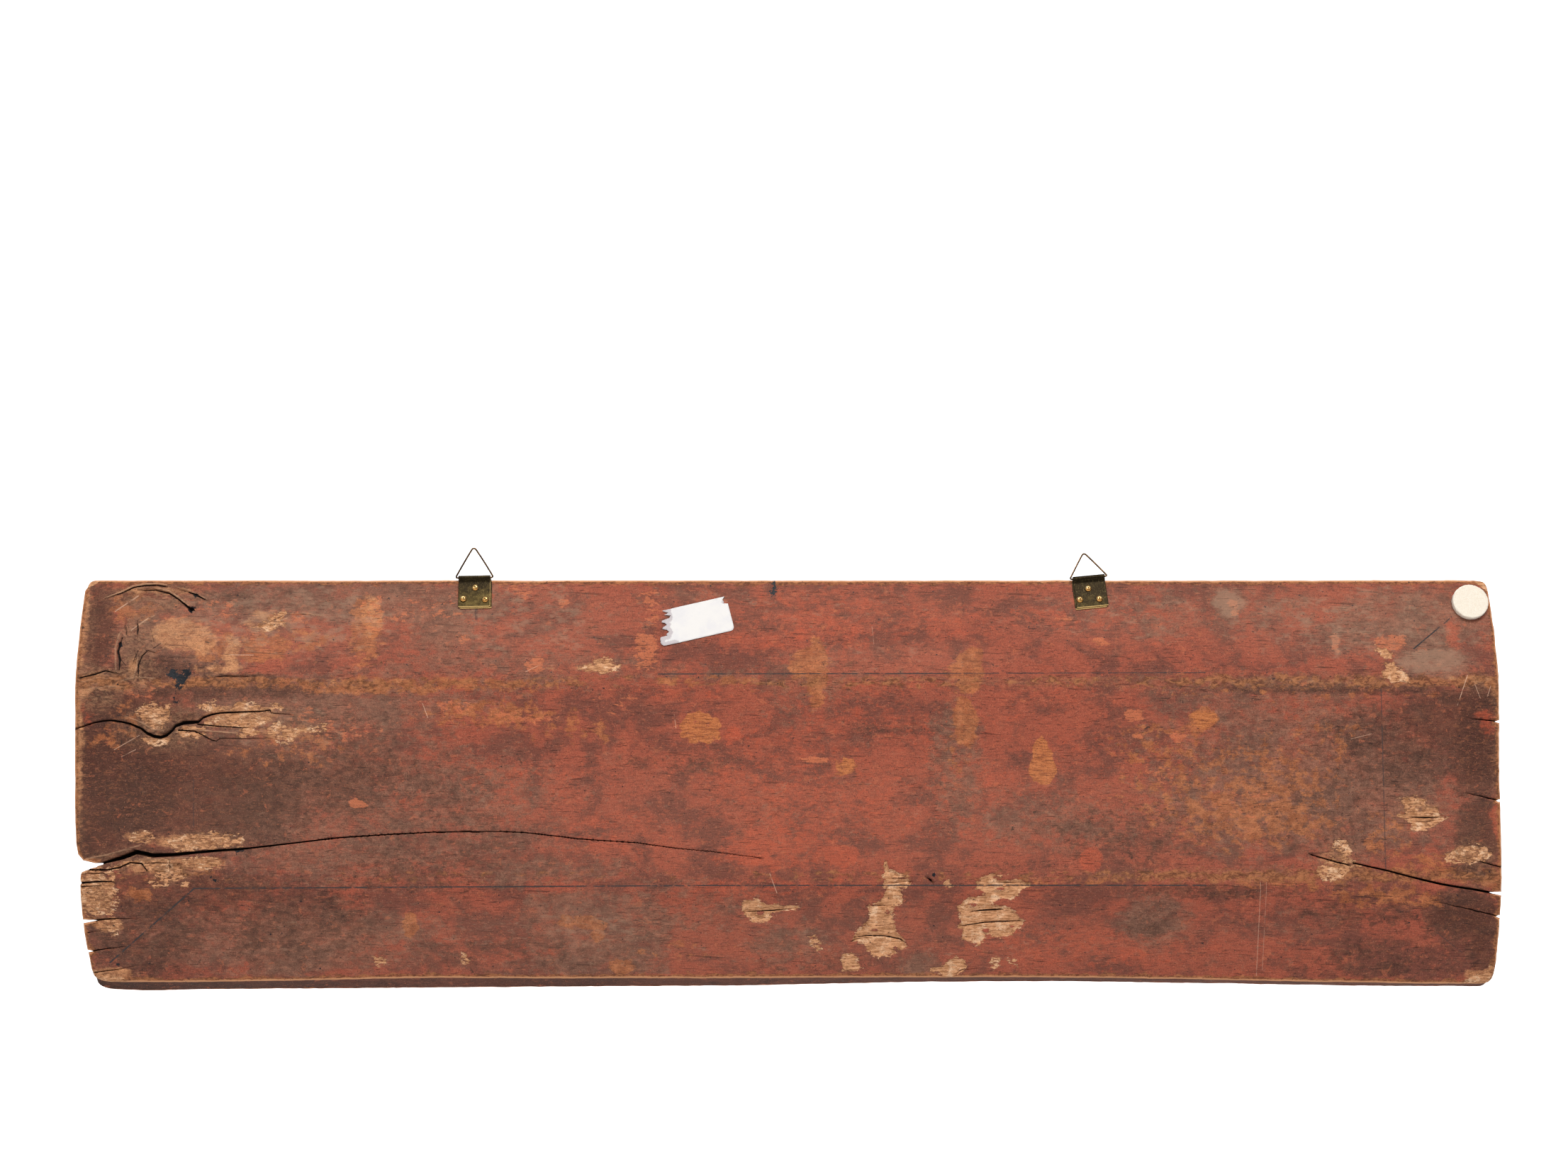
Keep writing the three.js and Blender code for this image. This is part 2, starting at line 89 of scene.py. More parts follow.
UNDERSIDE_FRONT = [
    (-396, -119.6), (-372, -121), (-330, -120.4), (-180, -119.2), (-20, -118.2), (70, -116.2),
    (150, -115.7), (240, -116.8), (330, -118.4), (398, -118.6),
]

# Splits in the back: depth at their ends, then (x, z, width) along them
SPLITS = [
    (11, 4, [
        (-391, -47.3, 1.5), (-384, -45.2, 1.6), (-376, -42.8, 2.6), (-368.4, -39.9, 2.8),
        (-358.8, -41.8, 2.5), (-347.2, -41.4, 2), (-335.2, -40.2, 1.6), (-322.8, -39.1, 1.5),
        (-310.4, -38.3, 1.2), (-304, -37.7, 0.9), (-277.2, -34.6, 0.72), (-254, -31.8, 0.66),
        (-223, -29.8, 0.56), (-199, -28.6, 0.52), (-162, -28.2, 0.46), (-146.8, -29, 0.46),
        (-116, -32.6, 0.48), (-85.6, -34.6, 0.4), (-62.4, -37.8, 0.34), (-44.4, -39.4, 0.28),
        (-16.4, -43, 0.2),
    ]),
    (3, 2, [
        (-396, -49.9, 0.9), (-384.8, -50, 0.9), (-377.6, -48.6, 0.8), (-371.6, -45.9, 0.8),
        (-365.2, -46.4, 0.9), (-362.4, -49.8, 0.6),
    ]),
    (7, 2.5, [
        (-402, 29.8, 0.7), (-392.5, 33, 0.8), (-386.6, 34.2, 0.9), (-381.9, 34.5, 0.9), (-376, 33.6, 1),
        (-371.3, 32.5, 1.1), (-365.4, 29.9, 1.5), (-361.9, 27.2, 1.7), (-358.4, 25.5, 1.9),
        (-354.8, 25, 2.2), (-351.3, 26.2, 2.2), (-347.8, 29, 2), (-346, 31.5, 2.2), (-341.9, 33.2, 2.6),
        (-337.2, 33.4, 2.4), (-333.1, 33.7, 1.8), (-330.1, 36.2, 1.5), (-325.4, 37.8, 1.2),
        (-320.7, 38.7, 1), (-310.1, 39.2, 0.9), (-299.5, 39.5, 0.8), (-292.5, 40.2, 0.6),
        (-291.6, 38.6, 0.4), (-281, 37.8, 0.3),
    ]),
    (2.5, 1, [(-333.1, 32.3, 0.8), (-323.1, 31.3, 0.7), (-310.1, 30.4, 0.6), (-297, 30, 0.3)]),
    (2.5, 1, [
        (-344, 29, 0.8), (-334.8, 28.4, 0.7), (-330.1, 26, 0.6), (-325.4, 23.4, 0.6), (-322.5, 22.8, 0.5),
        (-320.1, 24.4, 0.5), (-306.6, 24.2, 0.5), (-290.1, 24.4, 0.4),
    ]),
    (5, 2, [(-396, -79.2, 0.9), (-388, -78.2, 0.8), (-380, -77.7, 0.5), (-370, -77.9, 0.25)]),
    (3, 2, [(-398, -96.8, 0.7), (-390, -95.6, 0.6), (-379, -94.2, 0.25)]),
    (2, 1, [(-397.4, -109.4, 0.5), (-384, -107.6, 0.5), (-369.8, -104.8, 0.25)]),
    (2, 1, [(-397.8, -86, 0.45), (-388, -84.2, 0.25)]),
    (3, 2, [(401.6, 33.9, 0.7), (393, 34.8, 0.6), (385.6, 35.5, 0.25)]),
    (3, 1.5, [(402, -10.8, 0.7), (390, -8, 0.5), (381.6, -6.2, 0.2)]),
    (2.5, 1.5, [(403, -48.4, 0.7), (393, -45.8, 0.5), (380, -42.6, 0.2)]),
    (4, 2, [(294.3, -40.8, 0.35), (299.1, -42.4, 0.6), (310, -45.5, 0.8), (318.1, -47.4, 0.6)]),
    (5, 7, [
        (319.5, -46, 0.8), (329.1, -48.2, 0.9), (339.5, -50.5, 0.9), (349.1, -53.1, 0.9),
        (358.6, -55.5, 1.1), (369, -57.9, 1.2), (378.6, -59.6, 1.1), (389.1, -61.2, 1.2),
        (401.4, -63.5, 1.3),
    ]),
    (1.5, 3, [(364.7, -67.5, 0.2), (384, -71.8, 0.5), (403.4, -76.5, 0.6)]),
    (1.3, 1.6, [
        (-388.6, 104.6, 0.4), (-380.6, 107.7, 0.7), (-374.2, 111, 0.8), (-367.6, 112.1, 0.9),
        (-360.8, 112.3, 0.8), (-355.1, 111.4, 0.5),
    ]),
    (1.3, 2.6, [
        (-371.8, 109.4, 0.4), (-361.7, 109.4, 0.8), (-353.7, 107.6, 0.9), (-347.5, 103.8, 0.9),
        (-342.6, 99.9, 1.4), (-340, 98.1, 2.2),
    ]),
    (1, 1.6, [(-349.2, 110, 0.5), (-342.4, 108.2, 0.7), (-337.9, 106.6, 1.5), (-331.6, 103.2, 0.4)]),
    (2, 1.2, [(-378, 81.6, 0.5), (-379.9, 73.6, 1.5), (-378.4, 69, 1.4), (-378.1, 63, 0.6)]),
    (1.6, 1, [(-370, 90.6, 0.4), (-369.4, 86, 1), (-369.5, 81.7, 0.4)]),
    (1.1, 0.8, [(-376.6, 90.6, 0.4), (-376.9, 87, 0.7), (-375.2, 84.2, 0.4)]),
    (1.4, 1, [
        (-367.2, 59, 0.5), (-367.4, 66, 0.9), (-365.8, 71.2, 0.8), (-362.7, 74.2, 0.6),
        (-357.8, 72.6, 0.5), (-352.4, 78.2, 0.4),
    ]),
    (1.2, 0.8, [(-372, 64.6, 0.3), (-368.6, 70, 0.6), (-371, 75, 0.3)]),
    (1.6, 1, [(-400, 58.6, 0.6), (-392, 60.6, 1), (-386, 62.6, 0.8), (-378, 60.8, 0.5)]),
    (1.2, 0.8, [(-326, 58.6, 0.3), (-318, 59.6, 0.8), (-306, 59.2, 0.6), (-296, 59.8, 0.3)]),
    (1.6, 1.2, [(-24, -73.8, 0.4), (-8.9, -73.1, 0.7), (0.5, -72.2, 0.5), (5, -71.6, 0.2)]),
    (1.3, 1, [(46.4, -69.9, 0.3), (52, -70.2, 0.6), (58, -70, 0.3)]),
    (1.6, 1.4, [
        (37.6, -88.7, 0.3), (45.1, -87.6, 0.6), (55.1, -87.8, 0.7), (63.9, -89.6, 0.7), (67.7, -92.2, 0.3),
    ]),
    (1.4, 1, [(36.9, -90.6, 0.5), (41, -89.3, 0.6), (46, -88.9, 0.3)]),
    (1.2, 1, [(55, -57.9, 0.3), (61, -57.3, 0.6), (69, -56.2, 0.3)]),
    (1, 0.8, [(56, -54.4, 0.3), (62, -54.8, 0.5), (69, -54.5, 0.3)]),
    (2, 1.5, [(105, -73.5, 0.4), (112, -72.9, 1), (118, -72.6, 1), (122.8, -72.3, 0.3)]),
    (1.8, 1.2, [
        (97.9, -82.1, 0.3), (104, -81.2, 0.6), (111.7, -80, 0.7), (122, -79.4, 0.7), (131.8, -79, 0.5),
        (135.5, -79.3, 0.2),
    ]),
    (1.4, 1, [(115, -57.2, 0.2), (124, -56.9, 0.6), (139, -57.4, 0.3)]),
    (1.2, 1, [(110, -59.7, 0.2), (122, -59.4, 0.5), (134, -58.8, 0.2)]),
    (1.4, 1, [(95.6, -110.6, 0.3), (99.6, -107.6, 0.6), (108.6, -106.8, 0.3)]),
    (1.6, 1.2, [(79.6, -54.6, 0.6), (80.8, -55.8, 1.3), (81.6, -56.6, 0.6)]),
    (1.3, 0.8, [(-300.6, 87.8, 0.3), (-292, 92.2, 0.6), (-285.6, 95.4, 0.3)]),
    (1, 0.8, [(-284.6, 95.3, 0.3), (-276, 95.2, 0.6), (-266, 94.3, 0.3)]),
    (1.6, 1, [(351, -20.2, 0.3), (360, -20.4, 0.9), (370, -20.2, 0.4)]),
    (1.2, 1, [(352, -22.6, 0.3), (360, -22.8, 0.6), (371, -21.4, 0.3)]),
    (1.2, 0.8, [(-399.6, -52.4, 0.5), (-388, -52, 0.7), (-380, -52.2, 0.4)]),
    (2.2, 1.4, [(-399.9, -57.4, 1.2), (-390, -56.6, 1.1), (-381, -56.6, 0.5)]),
    (1.4, 1, [(-399.9, -59.4, 0.7), (-388, -58.9, 0.5)]),
    (2.2, 1.2, [(-349.2, -44.2, 0.4), (-349.4, -49, 0.5)]),
    (1.2, 1, [(-363, -46.4, 0.4), (-356, -46, 0.7), (-344, -46.4, 0.5)]),
]

# Torn fibres that stand up from the back: how high, how pale, then (x, z, width) along them
STRANDS = [
    (0.4, 0.9, [
        (-388.6, 105.3, 0.3), (-380.6, 108.4, 0.7), (-374.2, 111.8, 0.9), (-367.6, 113, 0.9),
        (-360.8, 113.3, 0.8), (-355.1, 112.4, 0.3),
    ]),
    (0.4, 0.7, [
        (-371.8, 110.7, 0.3), (-361.7, 110.7, 0.8), (-353.7, 109, 0.9), (-347.5, 105, 1),
        (-342.6, 101, 0.8), (-340, 98.1, 0.3),
    ]),
    (0.3, 0.6, [(-349.2, 111.3, 0.3), (-342.4, 109.5, 0.7), (-336.3, 106.1, 0.7), (-331.6, 104.4, 0.3)]),
    (0.2, 0.6, [(-372.6, 86.7, 0.2), (-366, 91.2, 0.6), (-360.4, 94.6, 0.2)]),
    (0.3, 0.5, [(-368.6, 71, 0.3), (-368, 66, 0.8), (-369.3, 60, 0.5)]),
    (0.3, 0.5, [(-379.6, 84, 0.3), (-381.2, 76, 0.7), (-380.6, 68, 0.7), (-379.6, 62, 0.3)]),
    (0.3, 0.4, [(-398, 56.4, 0.4), (-390, 58.6, 0.8), (-383, 58.2, 0.4)]),
    (0.3, 0.4, [(-376, 57, 0.4), (-368, 59, 0.7), (-358, 58.4, 0.3)]),
    (0.3, 0.4, [(-392, 52.6, 0.3), (-384, 53.8, 0.7), (-375, 53.2, 0.3)]),
    (0.3, 0.6, [(-372, 36.2, 0.3), (-364, 33, 0.7), (-358.4, 29.4, 0.8), (-352.6, 28.8, 0.4)]),
    (0.3, 0.7, [(-346, 27.4, 0.3), (-338, 29.6, 0.7), (-326, 28.6, 0.6), (-312, 27.4, 0.3)]),
    (0.4, 0.6, [(-396, -43.6, 0.4), (-384, -41.4, 0.8), (-374, -38.6, 0.7), (-366, -36.2, 0.3)]),
    (0.3, 0.5, [(-366, -44.2, 0.3), (-352, -43.6, 0.7), (-338, -42.6, 0.4)]),
    (0.3, 0.7, [(-300.4, 86, 0.3), (-291, 90.2, 0.7), (-284.8, 93.2, 0.3)]),
    (0.2, 0.7, [(-284.6, 95.6, 0.2), (-275, 95.8, 0.5), (-265.7, 94.4, 0.2)]),
]

# Flaked places that show raw wood: how whole they are (0.5 to 1), how deep, and their outline
FLAKES = [
    (0.82, 0.9, [
        (-26, -68.7), (-22.7, -66.7), (-19.6, -66.4), (-16.5, -66.7), (-14.6, -68), (-10.2, -70),
        (-1.4, -70.3), (8, -69.9), (6.2, -71.5), (-0.1, -73.1), (-8.9, -74.7), (-10.2, -79.2),
        (-16.5, -80.4), (-19.6, -80.2), (-22.7, -76.6), (-25.5, -73.1),
    ]),
    (0.85, 1.1, [
        (54.5, -44), (56.4, -44.6), (57, -49.2), (62.7, -51.4), (59.5, -52.2), (65.2, -53), (69.6, -53.4),
        (60.2, -54.3), (70, -55.6), (69.6, -58.2), (66.5, -59.8), (62.7, -59.8), (65.2, -63.2),
        (64.6, -69), (60.4, -70.3), (60.2, -77.9), (61.4, -84.3), (65.2, -88.7), (68.3, -94.2),
        (63.3, -95.7), (59.5, -99.8), (50.1, -100.2), (46.4, -97), (42.6, -91.9), (37.3, -90.6),
        (38.2, -86.8), (40.1, -83), (46.4, -79.2), (45.7, -70.9), (50.1, -69.2), (53.3, -65.8),
        (56.4, -60.1), (52.6, -59.4), (55.1, -55.6), (53.3, -53.1), (55.1, -51.1), (54.7, -47.3),
    ]),
    (0.95, 1.1, [
        (106, -60.7), (106.7, -56.9), (109.8, -53.9), (115.5, -52.4), (125.5, -52.2), (116.1, -53.9),
        (119.2, -55.6), (126.8, -55.6), (133, -56.2), (140.2, -57.5), (136.8, -58.8), (133, -61.3),
        (130.5, -64.5), (126.8, -67.7), (120.5, -65.8), (114.2, -69), (119.2, -70), (124.3, -70.3),
        (128, -73.1), (131.8, -76), (135.5, -79.4), (131.8, -83), (126.8, -87.5), (118, -89.4),
        (114.2, -86.8), (111.7, -90), (109.2, -93.2), (105.4, -90.6), (101.6, -91.3), (99.1, -88.7),
        (99.1, -83.6), (96, -82.4), (98.5, -79.2), (97.2, -74.1), (95.4, -70.9), (99.1, -68.3),
        (101, -65.8), (106.7, -65.2), (110.4, -62),
    ]),
    (0.75, 0.4, [(88.4, -57.5), (91, -55.6), (94.3, -60.1), (89, -59.8)]),
    (0.6, 0.3, [(12.4, -88.1), (15.6, -87.8), (20, -91.9), (20, -94.5), (16.8, -95.7), (13, -93.8)]),
    (0.74, 0.5, [
        (31.3, -98.3), (37.6, -97.6), (40.7, -102.1), (41.3, -107.2), (36.3, -109.1), (31.3, -108.5),
        (32.5, -104.7), (30, -102.1),
    ]),
    (0.78, 0.6, [
        (91.9, -101.5), (96.3, -100.2), (101.4, -100.6), (102.6, -105.9), (100.1, -109.1), (96.3, -111),
        (91.3, -112.9), (87.5, -109.8), (80.6, -108.5), (81.9, -106.3), (88.8, -105.4),
    ]),
    (0.56, 0.2, [(116.4, -100.2), (121, -101.2), (121.6, -105.4), (118, -107.8), (115.8, -104)]),
    (0.57, 0.2, [(124.7, -100.2), (130.4, -102.1), (131.6, -105.3), (126.6, -104)]),
    (0.61, 0.8, [
        (-313.6, 40.7), (-310.1, 44.8), (-304.2, 46), (-300.1, 44.2), (-297.2, 42.5), (-286.6, 43.6),
        (-283.1, 40.7), (-293, 39.9), (-304, 39.6),
    ]),
    (0.66, 0.9, [
        (-328.9, 33.6), (-323.1, 36.6), (-312.5, 38.1), (-294.8, 38.4), (-292.5, 35.4), (-294.8, 32.5),
        (-298.4, 30.7), (-307.8, 30.4), (-320.7, 31.1), (-327.8, 31.5),
    ]),
    (0.62, 0.6, [
        (-312.5, 28.4), (-308.9, 29.5), (-300.7, 29.9), (-297.2, 27.8), (-300.7, 25.6), (-310.1, 25.2),
    ]),
    (0.58, 0.5, [
        (-294.2, 29.9), (-287.8, 33.6), (-279.5, 29.9), (-271.3, 30.2), (-260.1, 33), (-260.7, 28.9),
        (-268.9, 27.4), (-277.2, 26.6), (-280.1, 21.9), (-286.6, 21.3), (-290.1, 24.2), (-292.5, 27.2),
    ]),
    (0.58, 0.6, [
        (-368.4, 41.3), (-363, 42.5), (-358.4, 45.4), (-353.6, 40.7), (-349.5, 44.2), (-348.9, 38.4),
        (-351.3, 33.6), (-353.6, 30.1), (-358.4, 30.7), (-363, 32.5), (-366.6, 36.6),
    ]),
    (0.62, 0.6, [
        (-364.8, 25.4), (-360.7, 23.9), (-348.9, 24.2), (-349.5, 21), (-358.4, 20.1), (-361.9, 21.9),
    ]),
    (0.58, 0.5, [
        (-344.2, 30.7), (-328.9, 30.7), (-327.8, 27.8), (-333.6, 24.2), (-339.5, 24.8), (-344.2, 27.2),
    ]),
    (0.6, 0.4, [
        (-333.1, 43.1), (-326, 44.8), (-323.1, 47.6), (-322.5, 42.6), (-317.2, 41.9), (-320.7, 39.5),
        (-327.8, 39.5),
    ]),
    (0.5, 0.8, [
        (-350.3, -34.4), (-346, -31.4), (-339.9, -30.1), (-332.1, -29.7), (-322.5, -27.9), (-318.2, -30.1),
        (-309.5, -29.2), (-306.9, -33.6), (-307.7, -37), (-319, -38.3), (-329.5, -39.2), (-346, -40.1),
    ]),
    (0.46, 0.5, [
        (-371.2, -28.3), (-366.9, -27), (-360.8, -27.5), (-357.3, -31.8), (-362.5, -35.3), (-371.2, -33.6),
    ]),
    (0.52, 0.8, [
        (-341.7, -44.4), (-333.8, -41.8), (-327.7, -42.7), (-319.9, -43.9), (-319.5, -47.1),
        (-327.7, -49.2), (-338.2, -49.2),
    ]),
    (0.58, 3, [
        (-358.6, -50.1), (-349.5, -49.2), (-349.3, -46.2), (-343, -46.2), (-341.2, -50.1), (-339, -54.4),
        (-345.1, -56.6), (-353.8, -56.6), (-357.3, -52.7),
    ]),
    (0.54, 1.4, [
        (-394.3, -48.8), (-379.9, -47.6), (-369.5, -43.6), (-359, -44), (-349.5, -44), (-349.5, -49.2),
        (-362.5, -51), (-363.4, -47.9), (-368.6, -46.3), (-373.8, -47.6), (-378.2, -50), (-393.8, -51),
    ]),
    (0.53, 1.1, [
        (-401, -51), (-377.3, -51.8), (-381.7, -56.2), (-377, -62), (-378.5, -69.3), (-381, -75.5),
        (-389, -76.3), (-397, -76.3), (-402, -71), (-402, -61.3),
    ]),
    (0.5, 0.4, [(-387.5, -78.6), (-377.7, -79), (-378, -85), (-382.6, -87.8), (-386.5, -84.2)]),
    (0.64, 0.5, [(-402, -107), (-390, -109.3), (-382, -112.3), (-374, -117), (-402, -119)]),
    (0.59, 0.4, [(-362.5, -56.2), (-352, -56.6), (-349.5, -58.8), (-359, -60.2)]),
    (0.6, 0.4, [(-342.4, -56.6), (-338, -57), (-338.2, -60), (-342, -59.4)]),
    (0.66, 0.6, [
        (-302.3, 88.4), (-294, 93.6), (-287.3, 97.6), (-284.6, 96.4), (-288.2, 91.9), (-283.4, 88.4),
        (-290.1, 87.9), (-294.1, 85), (-300.7, 86.7),
    ]),
    (0.7, 1, [
        (346.7, -10.3), (351.9, -8.4), (360.5, -10.3), (359.6, -13.6), (367.2, -16), (369.1, -18.9),
        (372.9, -20.3), (368.1, -23.6), (360.5, -27.4), (353.8, -27.9), (351, -23.6), (344.3, -18.9),
        (349.1, -18.4), (348.1, -14.1),
    ]),
    (0.62, 0.7, [
        (309.6, -32.2), (316.7, -34.1), (318.6, -38.9), (317.6, -41.2), (307.2, -42.7), (303.4, -45.5),
        (299.1, -49.3), (301.5, -55), (307.2, -57), (313.8, -53.1), (318.6, -47.4), (323.3, -48.4),
        (320, -45), (308, -37),
    ]),
    (0.6, 0.6, [
        (373.8, -39.8), (381.5, -37), (389.1, -35.5), (394.8, -37.9), (397.7, -40.8), (395.7, -44.6),
        (385.3, -46.5), (378.6, -46), (370, -44.6), (371, -40.8),
    ]),
    (0.72, 0.5, [(332.6, 75), (338, 75.4), (343, 73), (341.6, 69.6), (334.6, 69.6), (336.4, 72)]),
    (0.7, 0.5, [
        (337.2, 68.4), (341.8, 67.8), (345.4, 63.6), (351.6, 59.4), (351.2, 56.4), (342, 55.8),
        (336, 59.2), (335.4, 62.6), (338.4, 64),
    ]),
    (0.66, 0.5, [
        (-118.8, 63.4), (-112, 66.4), (-104, 70.6), (-99.4, 69.4), (-103, 66.8), (-94.8, 66.2),
        (-96, 62.4), (-104, 60.4), (-110, 62.8),
    ]),
    (0.6, 0.4, [(-236, -100.4), (-230, -99.6), (-228.6, -104), (-234, -105)]),
    (0.62, 0.4, [(-186, -97.4), (-182.6, -98), (-181.4, -104), (-186, -105.6)]),
    (0.8, 0.5, [(397, 116), (391, 116), (395, 112.4), (400, 108), (404, 104), (404, 116)]),
    (0.8, 0.5, [(-403, 116), (-403, 109), (-399, 110), (-395, 113), (-393, 117)]),
    (0.62, 0.4, [(406, -102), (401, -105), (398, -110), (388, -113), (384, -118), (406, -118)]),
]

# Islands of paint left on the flaked places
ISLANDS = [
    (105, -69.9, 2.6, 1.5), (112.7, -84.5, 2, 1.6), (127.4, -82.1, 2.2, 1), (109.8, -63.2, 2.4, 1.6),
    (120.4, -60.6, 2.6, 0.9), (56.4, -73.6, 1.6, 1.6), (49.6, -84.4, 2, 1), (61.6, -95.4, 1.6, 1),
    (357.6, -15.4, 2.6, 1), (386, -41.4, 3, 1.2), (311.4, -44.6, 2, 1.4), (-318.6, 33.4, 3, 1),
    (-305.4, 36, 2.6, 0.8), (-15.6, -74.4, 2, 1.4),
]

# Hollows that don't break the paint's edge sharply: x, z, half length, half height, turn, depth
HOLLOWS = [
    (-355, 28.5, 9, 4.4, -20, 1.6), (-341, 35, 11, 4, 6, 1.8), (-361, 108, 22, 7, 0, 1),
    (-376, 72, 14, 16, 0, 0.6), (-372, -42.6, 16, 4, 12, 1.3), (-392, -43, 9, 3.4, 0, 1.4),
    (-336, -50, 10, 3.6, 0, 0.7), (-392, -66, 14, 12, 0, 0.6), (80.6, -55.8, 2.2, 1.6, -40, 1),
    (30, -91.4, 0.9, 0.9, 0, 1), (-343, 60, 8, 6, 0, 0.7), (-340, 98, 2.4, 1.6, 0, 1.6),
    (-388, 56, 18, 5, 0, 0.8),
]

# Places of other colours: x, z, half length, half height, strength
GRIME = [
    (-366, 80, 16, 16, 0.62), (-300, -90, 110, 22, 0.45), (-330, 100, 50, 10, 0.45),
    (-250, 104, 90, 14, 0.42), (-240, -20, 110, 40, 0.4), (-255, 45, 90, 14, 0.4),
    (-160, 62, 120, 12, 0.26), (-105, -88, 34, 24, 0.4), (350, 90, 50, 20, 0.4), (240, 98, 70, 14, 0.36),
    (215, 88, 16, 12, 0.4), (285, 5, 90, 48, 0.42), (150, -20, 60, 20, 0.22), (-196, 84, 16, 26, 0.35),
    (206, -78, 20, 17, 0.46), (252, 102, 10, 8, 0.9), (366, 68, 20, 9, 0.9), (0, -95, 26, 14, 0.42),
    (75, -106, 14, 7, 0.6), (-290, 54, 120, 7, 0.3), (10, 56, 30, 26, 0.25), (96, 10, 16, 40, 0.35),
    (-150, -50, 60, 10, 0.3), (-60, 60, 150, 4, 0.25), (380, 95, 20, 14, 0.45), (-330, 66, 30, 8, 0.4),
    (-60, -70, 40, 16, 0.2),
]
# Places darkened to brown and black
DARK = [
    (-375, 5, 46, 48, 0.92), (-322, -5, 58, 38, 0.66), (-262, 8, 50, 34, 0.46), (-394, -24, 18, 34, 0.85),
    (-320, 52, 70, 6, 0.5), (-345, 18, 34, 10, 0.8), (-345, -62, 70, 14, 0.56), (-370, -86, 38, 26, 0.52),
    (-290, -80, 60, 28, 0.42), (-391, 87, 10, 26, 0.78), (-340, -46, 30, 5, 0.42), (390, 24, 18, 32, 0.92),
    (372, 34, 30, 18, 0.6), (390, -32, 13, 24, 0.78), (345, 20, 44, 26, 0.46), (384, -76, 24, 15, 0.8),
    (330, -72, 50, 12, 0.36), (396, -92, 10, 20, 0.72), (345, -102, 50, 12, 0.36),
    (206, -80, 14, 12, 0.22), (310, 52.5, 90, 3, 0.55), (250, -62, 70, 5, 0.4), (386, -51, 14, 5, 1),
    (386, 46, 22, 6, 0.85), (-382, 104, 16, 7, 0.5), (-355, 66, 40, 6, 0.5), (-300, 104, 50, 8, 0.36),
    (300, -20, 40, 30, 0.34), (-350, 108, 30, 8, 0.3), (-200, -40, 60, 30, 0.32), (-372, 60, 30, 5, 0.6),
    (-310, 58.5, 26, 2.4, 0.7), (-392, 106, 9, 9, 0.45), (320, 60, 5, 3, 0.4), (20, -104, 40, 7, 0.25),
    (-150, -96, 80, 16, 0.22), (-220, -10, 60, 30, 0.3), (200, -30, 60, 20, 0.3), (120, -50, 40, 6, 0.3),
    (-60, 10, 40, 6, 0.3), (60, 30, 30, 6, 0.3), (-300, 14, 60, 8, 0.55),
]
BRIGHT = [
    (-31, 26.6, 5, 5, 0.9), (31, -42, 8, 5.5, 1.4), (171, -44, 6, 6.5, 1.3), (0, -36, 50, 16, 0.5),
    (40, 0, 110, 60, 0.36), (30, 90, 100, 24, 0.36), (402, -22, 4, 13, 1), (399, -20, 6, 6, 0.4),
    (378, 84, 5, 10, 0.7), (396, 34, 6, 10, 0.5), (-20, -44, 26, 4, 0.6), (-165, 100, 40, 14, 0.3),
    (-140, 0, 60, 20, 0.3), (-170, -95, 50, 14, 0.26), (170, 96, 60, 12, 0.36), (160, -95, 80, 16, 0.4),
    (-90, -30, 60, 16, 0.36), (-60, 50, 40, 8, 0.4), (-215, -12, 16, 8, 0.4), (-16, -60, 60, 6, 0.42),
    (150, 20, 60, 50, 0.3), (-160, 52, 60, 4, 0.3), (70, 54, 60, 4, 0.45), (220, 6, 16, 10, 0.35),
    (300, 90, 90, 20, 0.22), (-240, 30, 14, 6, 0.3), (-8, -47, 4, 6, 0.7), (28, -56, 5, 3, 0.6),
    (204, 12, 10, 8, 0.4), (-396, 40, 6, 10, 0.45), (394, 38, 7, 3, 0.5),
]
OCHRE = [
    (-326, 78, 16, 10, 0.55), (-296, 76, 20, 9, 0.62), (-270, 80, 20, 8, 0.45), (-240, 84, 12, 26, 0.54),
    (-372, 100, 20, 9, 0.45), (235, 35.5, 7, 6, 1.1), (-190, 54, 70, 5, 0.52), (-240, 54, 50, 6, 0.5),
    (-320, 56, 60, 4, 0.45), (-214, -81, 3.6, 9, 0.95), (-117, -80, 14, 4, 0.9), (-108, -86, 4, 8, 0.8),
    (-95, -105.6, 8, 4, 0.9), (16, 62, 6, 22, 0.85), (12, 66, 14, 9, 0.7), (102, 62, 9, 14, 0.85),
    (101, 34, 7, 16, 0.75), (-366, -64, 8, 5, 0.55), (-376, 34, 12, 16, 0.38), (255, -6, 66, 36, 0.44),
    (268, -14, 46, 24, 0.5), (215, 20, 40, 18, 0.38), (33, 8, 7, 5.6, 0.5), (-46, 57, 40, 4, 0.4),
    (285, 50, 90, 6, 0.32), (312, -56, 90, 6, 0.36), (160, -56, 60, 3, 0.4), (96, 20, 9, 18, 0.38),
    (340, -66, 40, 8, 0.42), (360, -48, 20, 10, 0.45), (-165, 38, 46, 9, 0.45), (-120, 30, 30, 10, 0.38),
    (400, 56, 8, 4, 0.8), (384, 57, 20, 3, 0.45), (399, -57, 8, 3.4, 0.75), (-60, -98, 30, 8, 0.3),
    (-280, 20, 40, 12, 0.36), (298, 20, 30, 20, 0.36), (-388, 22, 10, 8, 0.4), (340, -30, 18, 16, 0.4),
]
